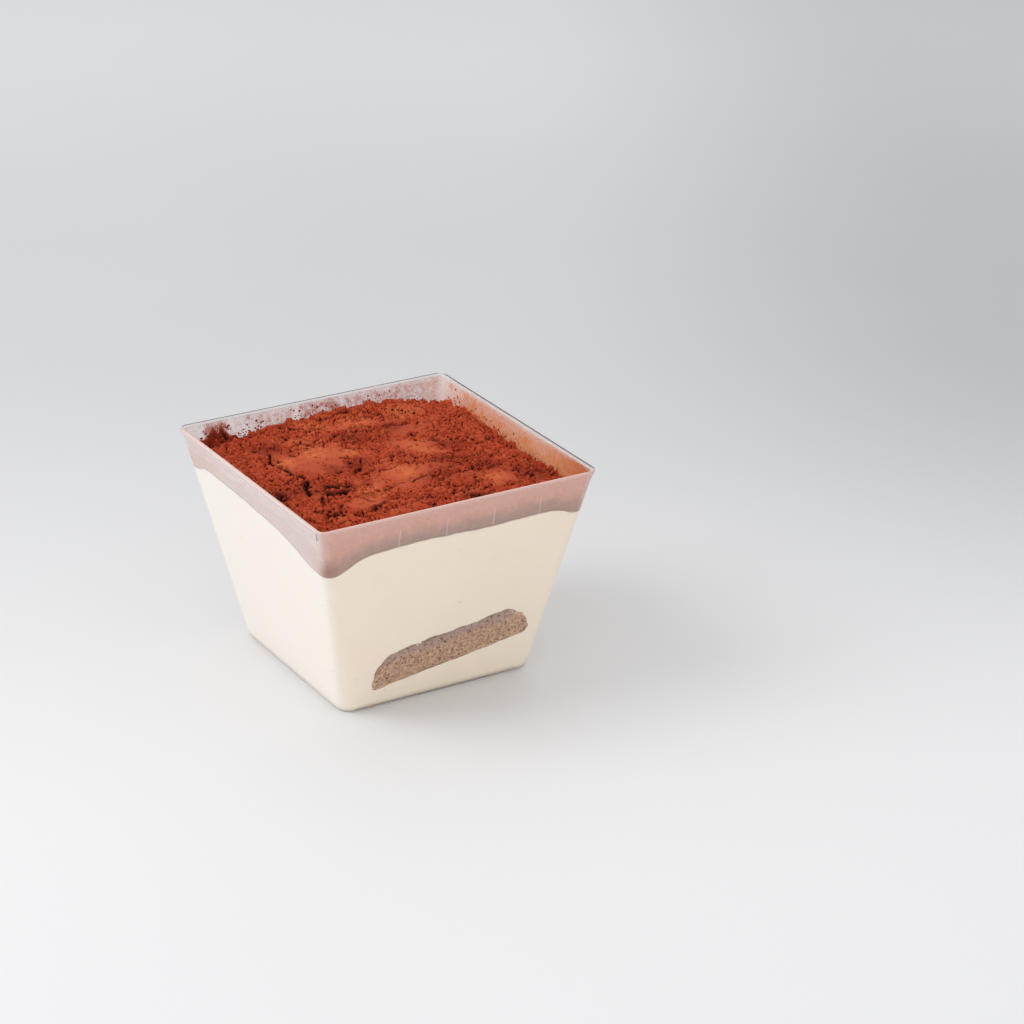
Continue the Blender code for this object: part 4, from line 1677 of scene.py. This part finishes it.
def wall_shares(x, y, half, radius):
    """How much of this point faces the -X, +X, -Y and +Y wall: they blend round a corner."""
    flat = half - radius
    out_x, out_y = max(0.0, abs(x) - flat), max(0.0, abs(y) - flat)
    share_x = out_x**2 / (out_x**2 + out_y**2)
    share_y = 1 - share_x
    return share_x * (x < 0), share_x * (x > 0), share_y * (y < 0), share_y * (y > 0)


def highest_near(x, y):
    """The height of the powder's tallest crumb near this place."""
    row, column = nearest_cell(x, y)
    rows = slice(max(0, row - FILM_CELLS_ROUND), row + FILM_CELLS_ROUND + 1)
    columns = slice(max(0, column - FILM_CELLS_ROUND), column + FILM_CELLS_ROUND + 1)
    return cocoa_heights[rows, columns].max()


def film_colour(shares, rise, corner, behind):
    """The dried film's colour: darker low down in front, where the cocoa backs it."""
    left, right, front, back = shares
    tone = Vector(FILM_FRONT_LOW).lerp(Vector(FILM_FRONT), step(rise, 0.10, 0.64))
    side = Vector(FILM_LEFT_LOW).lerp(Vector(FILM_LEFT), step(rise, 0.0, 0.5))
    side = side.lerp(Vector(FILM_LEFT_BACK), behind)
    near = (front * tone + left * side).lerp((front + left) * Vector(FILM_CORNER), corner)
    return near + (right + back) * Vector(FILM_MILK)


def milkiness(x, y, z, shares, cream_line):
    """How much of what lies behind the film is veiled by white."""
    left, right, front, back = shares
    cloud = 0.5 + 0.5 * noise.fractal(Vector((x, y, z)) / FILM_CLOUD, 1.0, 2.0, 3)
    veil = FILM_VEIL_NEAR * (front + left) + FILM_VEIL_FAR * (right + back) * (0.5 + cloud)
    return veil * step(z - cream_line, *FILM_STARTS)


def band(value, low, high):
    """1 between low and high, with soft edges."""
    soft = BAND_EDGE / 2
    return step(value, low - soft, low + soft) * (1 - step(value, high - soft, high + soft))


def dustiness(x, y, z, shares, cream_line):
    """How much powder sticks to the film."""
    _, right, _, back = shares
    spot = Vector((x, y, z))
    spots = 0.5 + 0.5 * noise.fractal(spot / DUST_SPOT, 0.8, 2.0, 3)
    wide = 0.5 + 0.5 * noise.fractal(spot / DUST_FIELD, 1.0, 2.0, 2)
    back_dust = BACK_DUST + sum(dust * band(x, low, high) for low, high, dust in BACK_BANDS)
    where, more = BACK_DUST_END
    back_dust += more * step(x, *where)
    where, more = RIGHT_DUST_LOW
    right_dust = RIGHT_DUST + more * (1 - step(z - COCOA_LEVEL, *where)) + 0.30 * (wide - 0.5)
    where, more = RIGHT_DUST_FRONT
    right_dust += more * (1 - step(y, *where))
    where, less = RIGHT_DUST_BACK
    right_dust *= 1 - less * step(y, *where)
    dust = back * back_dust * (0.6 + 0.8 * spots)
    dust += right * right_dust * (0.8 + 0.4 * spots)
    for smear_x, smear_y, smear_z, spread, amount in SMEARS:
        away = math.dist((x, y, z), (smear_x, smear_y, smear_z)) / spread
        dust += amount * math.exp(-(away**2))
    dust *= step(z - cream_line, *FILM_STARTS)
    return dust * (1 - 0.6 * step(z, FILM_TOP - DUST_BELOW_TOP, FILM_TOP))


def raise_ring(bm, edges, order):
    """Extrudes the top ring once more. Each new point takes over its neighbour's place."""
    made = bmesh.ops.extrude_edge_only(bm, edges=edges)["geom"]
    above = {}
    for vert in verts_of(made):
        neighbours = (edge.other_vert(vert) for edge in vert.link_edges)
        above[vert] = order[next(other for other in neighbours if other in order)]
    new_edges = [item for item in made if isinstance(item, bmesh.types.BMEdge)]
    return [edge for edge in new_edges if all(v in above for v in edge.verts)], above


def shape_film(vert, row, ring_x, ring_y, layers):
    """Puts one point of this row on its wall, and notes its colour, milk and dust."""
    tint, milky, dusty = layers
    rim_half = cavity_half(HEIGHT)
    shares = wall_shares(ring_x, ring_y, rim_half, cavity_radius(HEIGHT))
    cream_line = cream_height(ring_x, ring_y)
    foot = cream_line - FILM_FOOT
    z = foot + (FILM_TOP - foot) * row / FILM_ROWS
    powder = highest_near(ring_x, ring_y)
    sunk = (shares[0] + shares[2]) * (1 - step(z, powder + 0.0001, powder + 0.0006))
    shrink = cavity_half(z, between((FILM_ON_WALL, FILM_IN_WALL), sunk)) / rim_half
    x, y = ring_x * shrink, ring_y * shrink
    vert.co = (x, y, z)
    wisp = noise.fractal(Vector((x, y, z)) / FILM_WISP, 0.8, 2.0, 3)
    taller = math.sqrt((HEIGHT - cream_line) / FILM_HEADSPACE)
    rise = (z - cream_line) / (FILM_RISE * taller) + FILM_WISP_SHARE * wisp
    corner = math.exp(-math.dist((x, y, z), FILM_CORNER_PLACE) / FILM_CORNER_SPREAD)
    vert[tint] = (*film_colour(shares, rise, corner, step(y, *FILM_BEHIND)), 1.0)
    vert[milky] = milkiness(x, y, z, shares, cream_line)
    vert[dusty] = dustiness(x, y, z, shares, cream_line)


def make_film(finish):
    bm = bmesh.new()
    milky, dusty = (bm.verts.layers.float.new(name) for name in ("milk", "dust"))
    tint = bm.verts.layers.float_color.new("tint")
    places = ring_places(FILM_SEGMENTS, cavity_half(HEIGHT), cavity_radius(HEIGHT))
    ring = bmesh.ops.create_circle(bm, segments=FILM_SEGMENTS, radius=1.0)["verts"]
    order = dict(zip(ring, places))
    edges = bm.edges[:]
    for row in range(FILM_ROWS + 1):
        if row:
            edges, order = raise_ring(bm, edges, order)
        for vert, place in order.items():
            shape_film(vert, row, *place, (tint, milky, dusty))
    bmesh.ops.recalc_face_normals(bm, faces=bm.faces)
    bmesh.ops.solidify(bm, geom=bm.faces[:], thickness=FILM_THICKNESS)
    return add_object("wall_dust", bm, finish)


# %% [markdown]
# The film's finish mixes its own colour with that of the powder, in the shares that lie there, and
# its alpha is what both of them hide. Fine speckle and round specks break the powder up. The left
# edges of the lugs of the front wall catch the light as thin upright lines: these are painted
# highlights, at the lugs' own pitch.

# %% Dust film finish
FILM_POWDER = (0.52, 0.12, 0.05)
FILM_ORANGE = (0.68, 0.250, 0.098)
FILM_RUST = (0.52, 0.160, 0.066)
# The colour of the painted highlights down the lugs' left edges
LUG_GLINT = (0.90, 0.80, 0.78)
FILM_SIDE = 0.030
RUST_TO_ORANGE = (-0.036, -0.016)
LUG_LINE = 0.00016
LUG_LINES_START = (-0.026, -0.024)
POWDER_SPECKLE = 0.0009
POWDER_SPECK = 0.0012
POWDER_SPECK_FIELD = 0.004


def dust_film():
    recipe = Recipe("dust_film")
    milk = recipe.attribute("milk")
    dust = recipe.attribute("dust")
    speckle = recipe.noise(POWDER_SPECKLE, 3.0, 0.65).ramp(0.32, 0.74)
    x, y, z = recipe.axes()
    # A painted highlight down the left edge of each lug of the front wall
    half = LUG_PITCH / 2
    along = x + (LUG_WIDTH / 2 - LUG_LINE)
    apart = recipe.node("ShaderNodeMath", {"operation": "WRAP"}, {0: along, 1: half, 2: -half})
    line = 1 - abs(apart).ramp(LUG_LINE / 2, LUG_LINE)
    line *= (1 - y.ramp(-FILM_SIDE - 0.001, -FILM_SIDE)) * x.ramp(*LUG_LINES_START)
    line *= 1 - z.ramp(HEIGHT - LUG_TOP_BELOW_RIM, HEIGHT - LUG_TOP_BELOW_RIM + 0.0001)
    speck_size = 0.04 + 0.34 * recipe.cells(POWDER_SPECK, output="Color") ** 3.0
    specks = (1 - (recipe.cells(POWDER_SPECK) / speck_size).ramp(0.7, 1.2)) * dust.ramp(0.02, 0.08)
    specks *= recipe.noise(POWDER_SPECK_FIELD).ramp(0.42, 0.6)
    on_right = x.ramp(FILM_SIDE, FILM_SIDE + 0.002)
    grainy = 0.5 + 0.25 * on_right + (1.1 - 0.6 * on_right) * speckle
    dusted = dust * grainy + specks * 0.4
    milked = (milk * (0.92 + 0.12 * speckle)).least(0.97)
    film = recipe.mix(line * 0.5, recipe.attribute("tint", "Color"), LUG_GLINT)
    share = dusted / (dusted + milked * (1 - dusted.least(0.95)) + 0.001)
    orange = recipe.mix(y.ramp(*RUST_TO_ORANGE), FILM_RUST, FILM_ORANGE)
    powder = recipe.mix(on_right, FILM_POWDER, orange)
    recipe.set(
        Base_Color=recipe.mix(share, film, powder),
        Roughness=0.8,
        Specular_IOR_Level=0.0,
        Alpha=1 - (1 - dusted.least(0.95)) * (1 - milked),
    )
    return recipe.material


keep_piece(make_film(dust_film()), "cocoa")
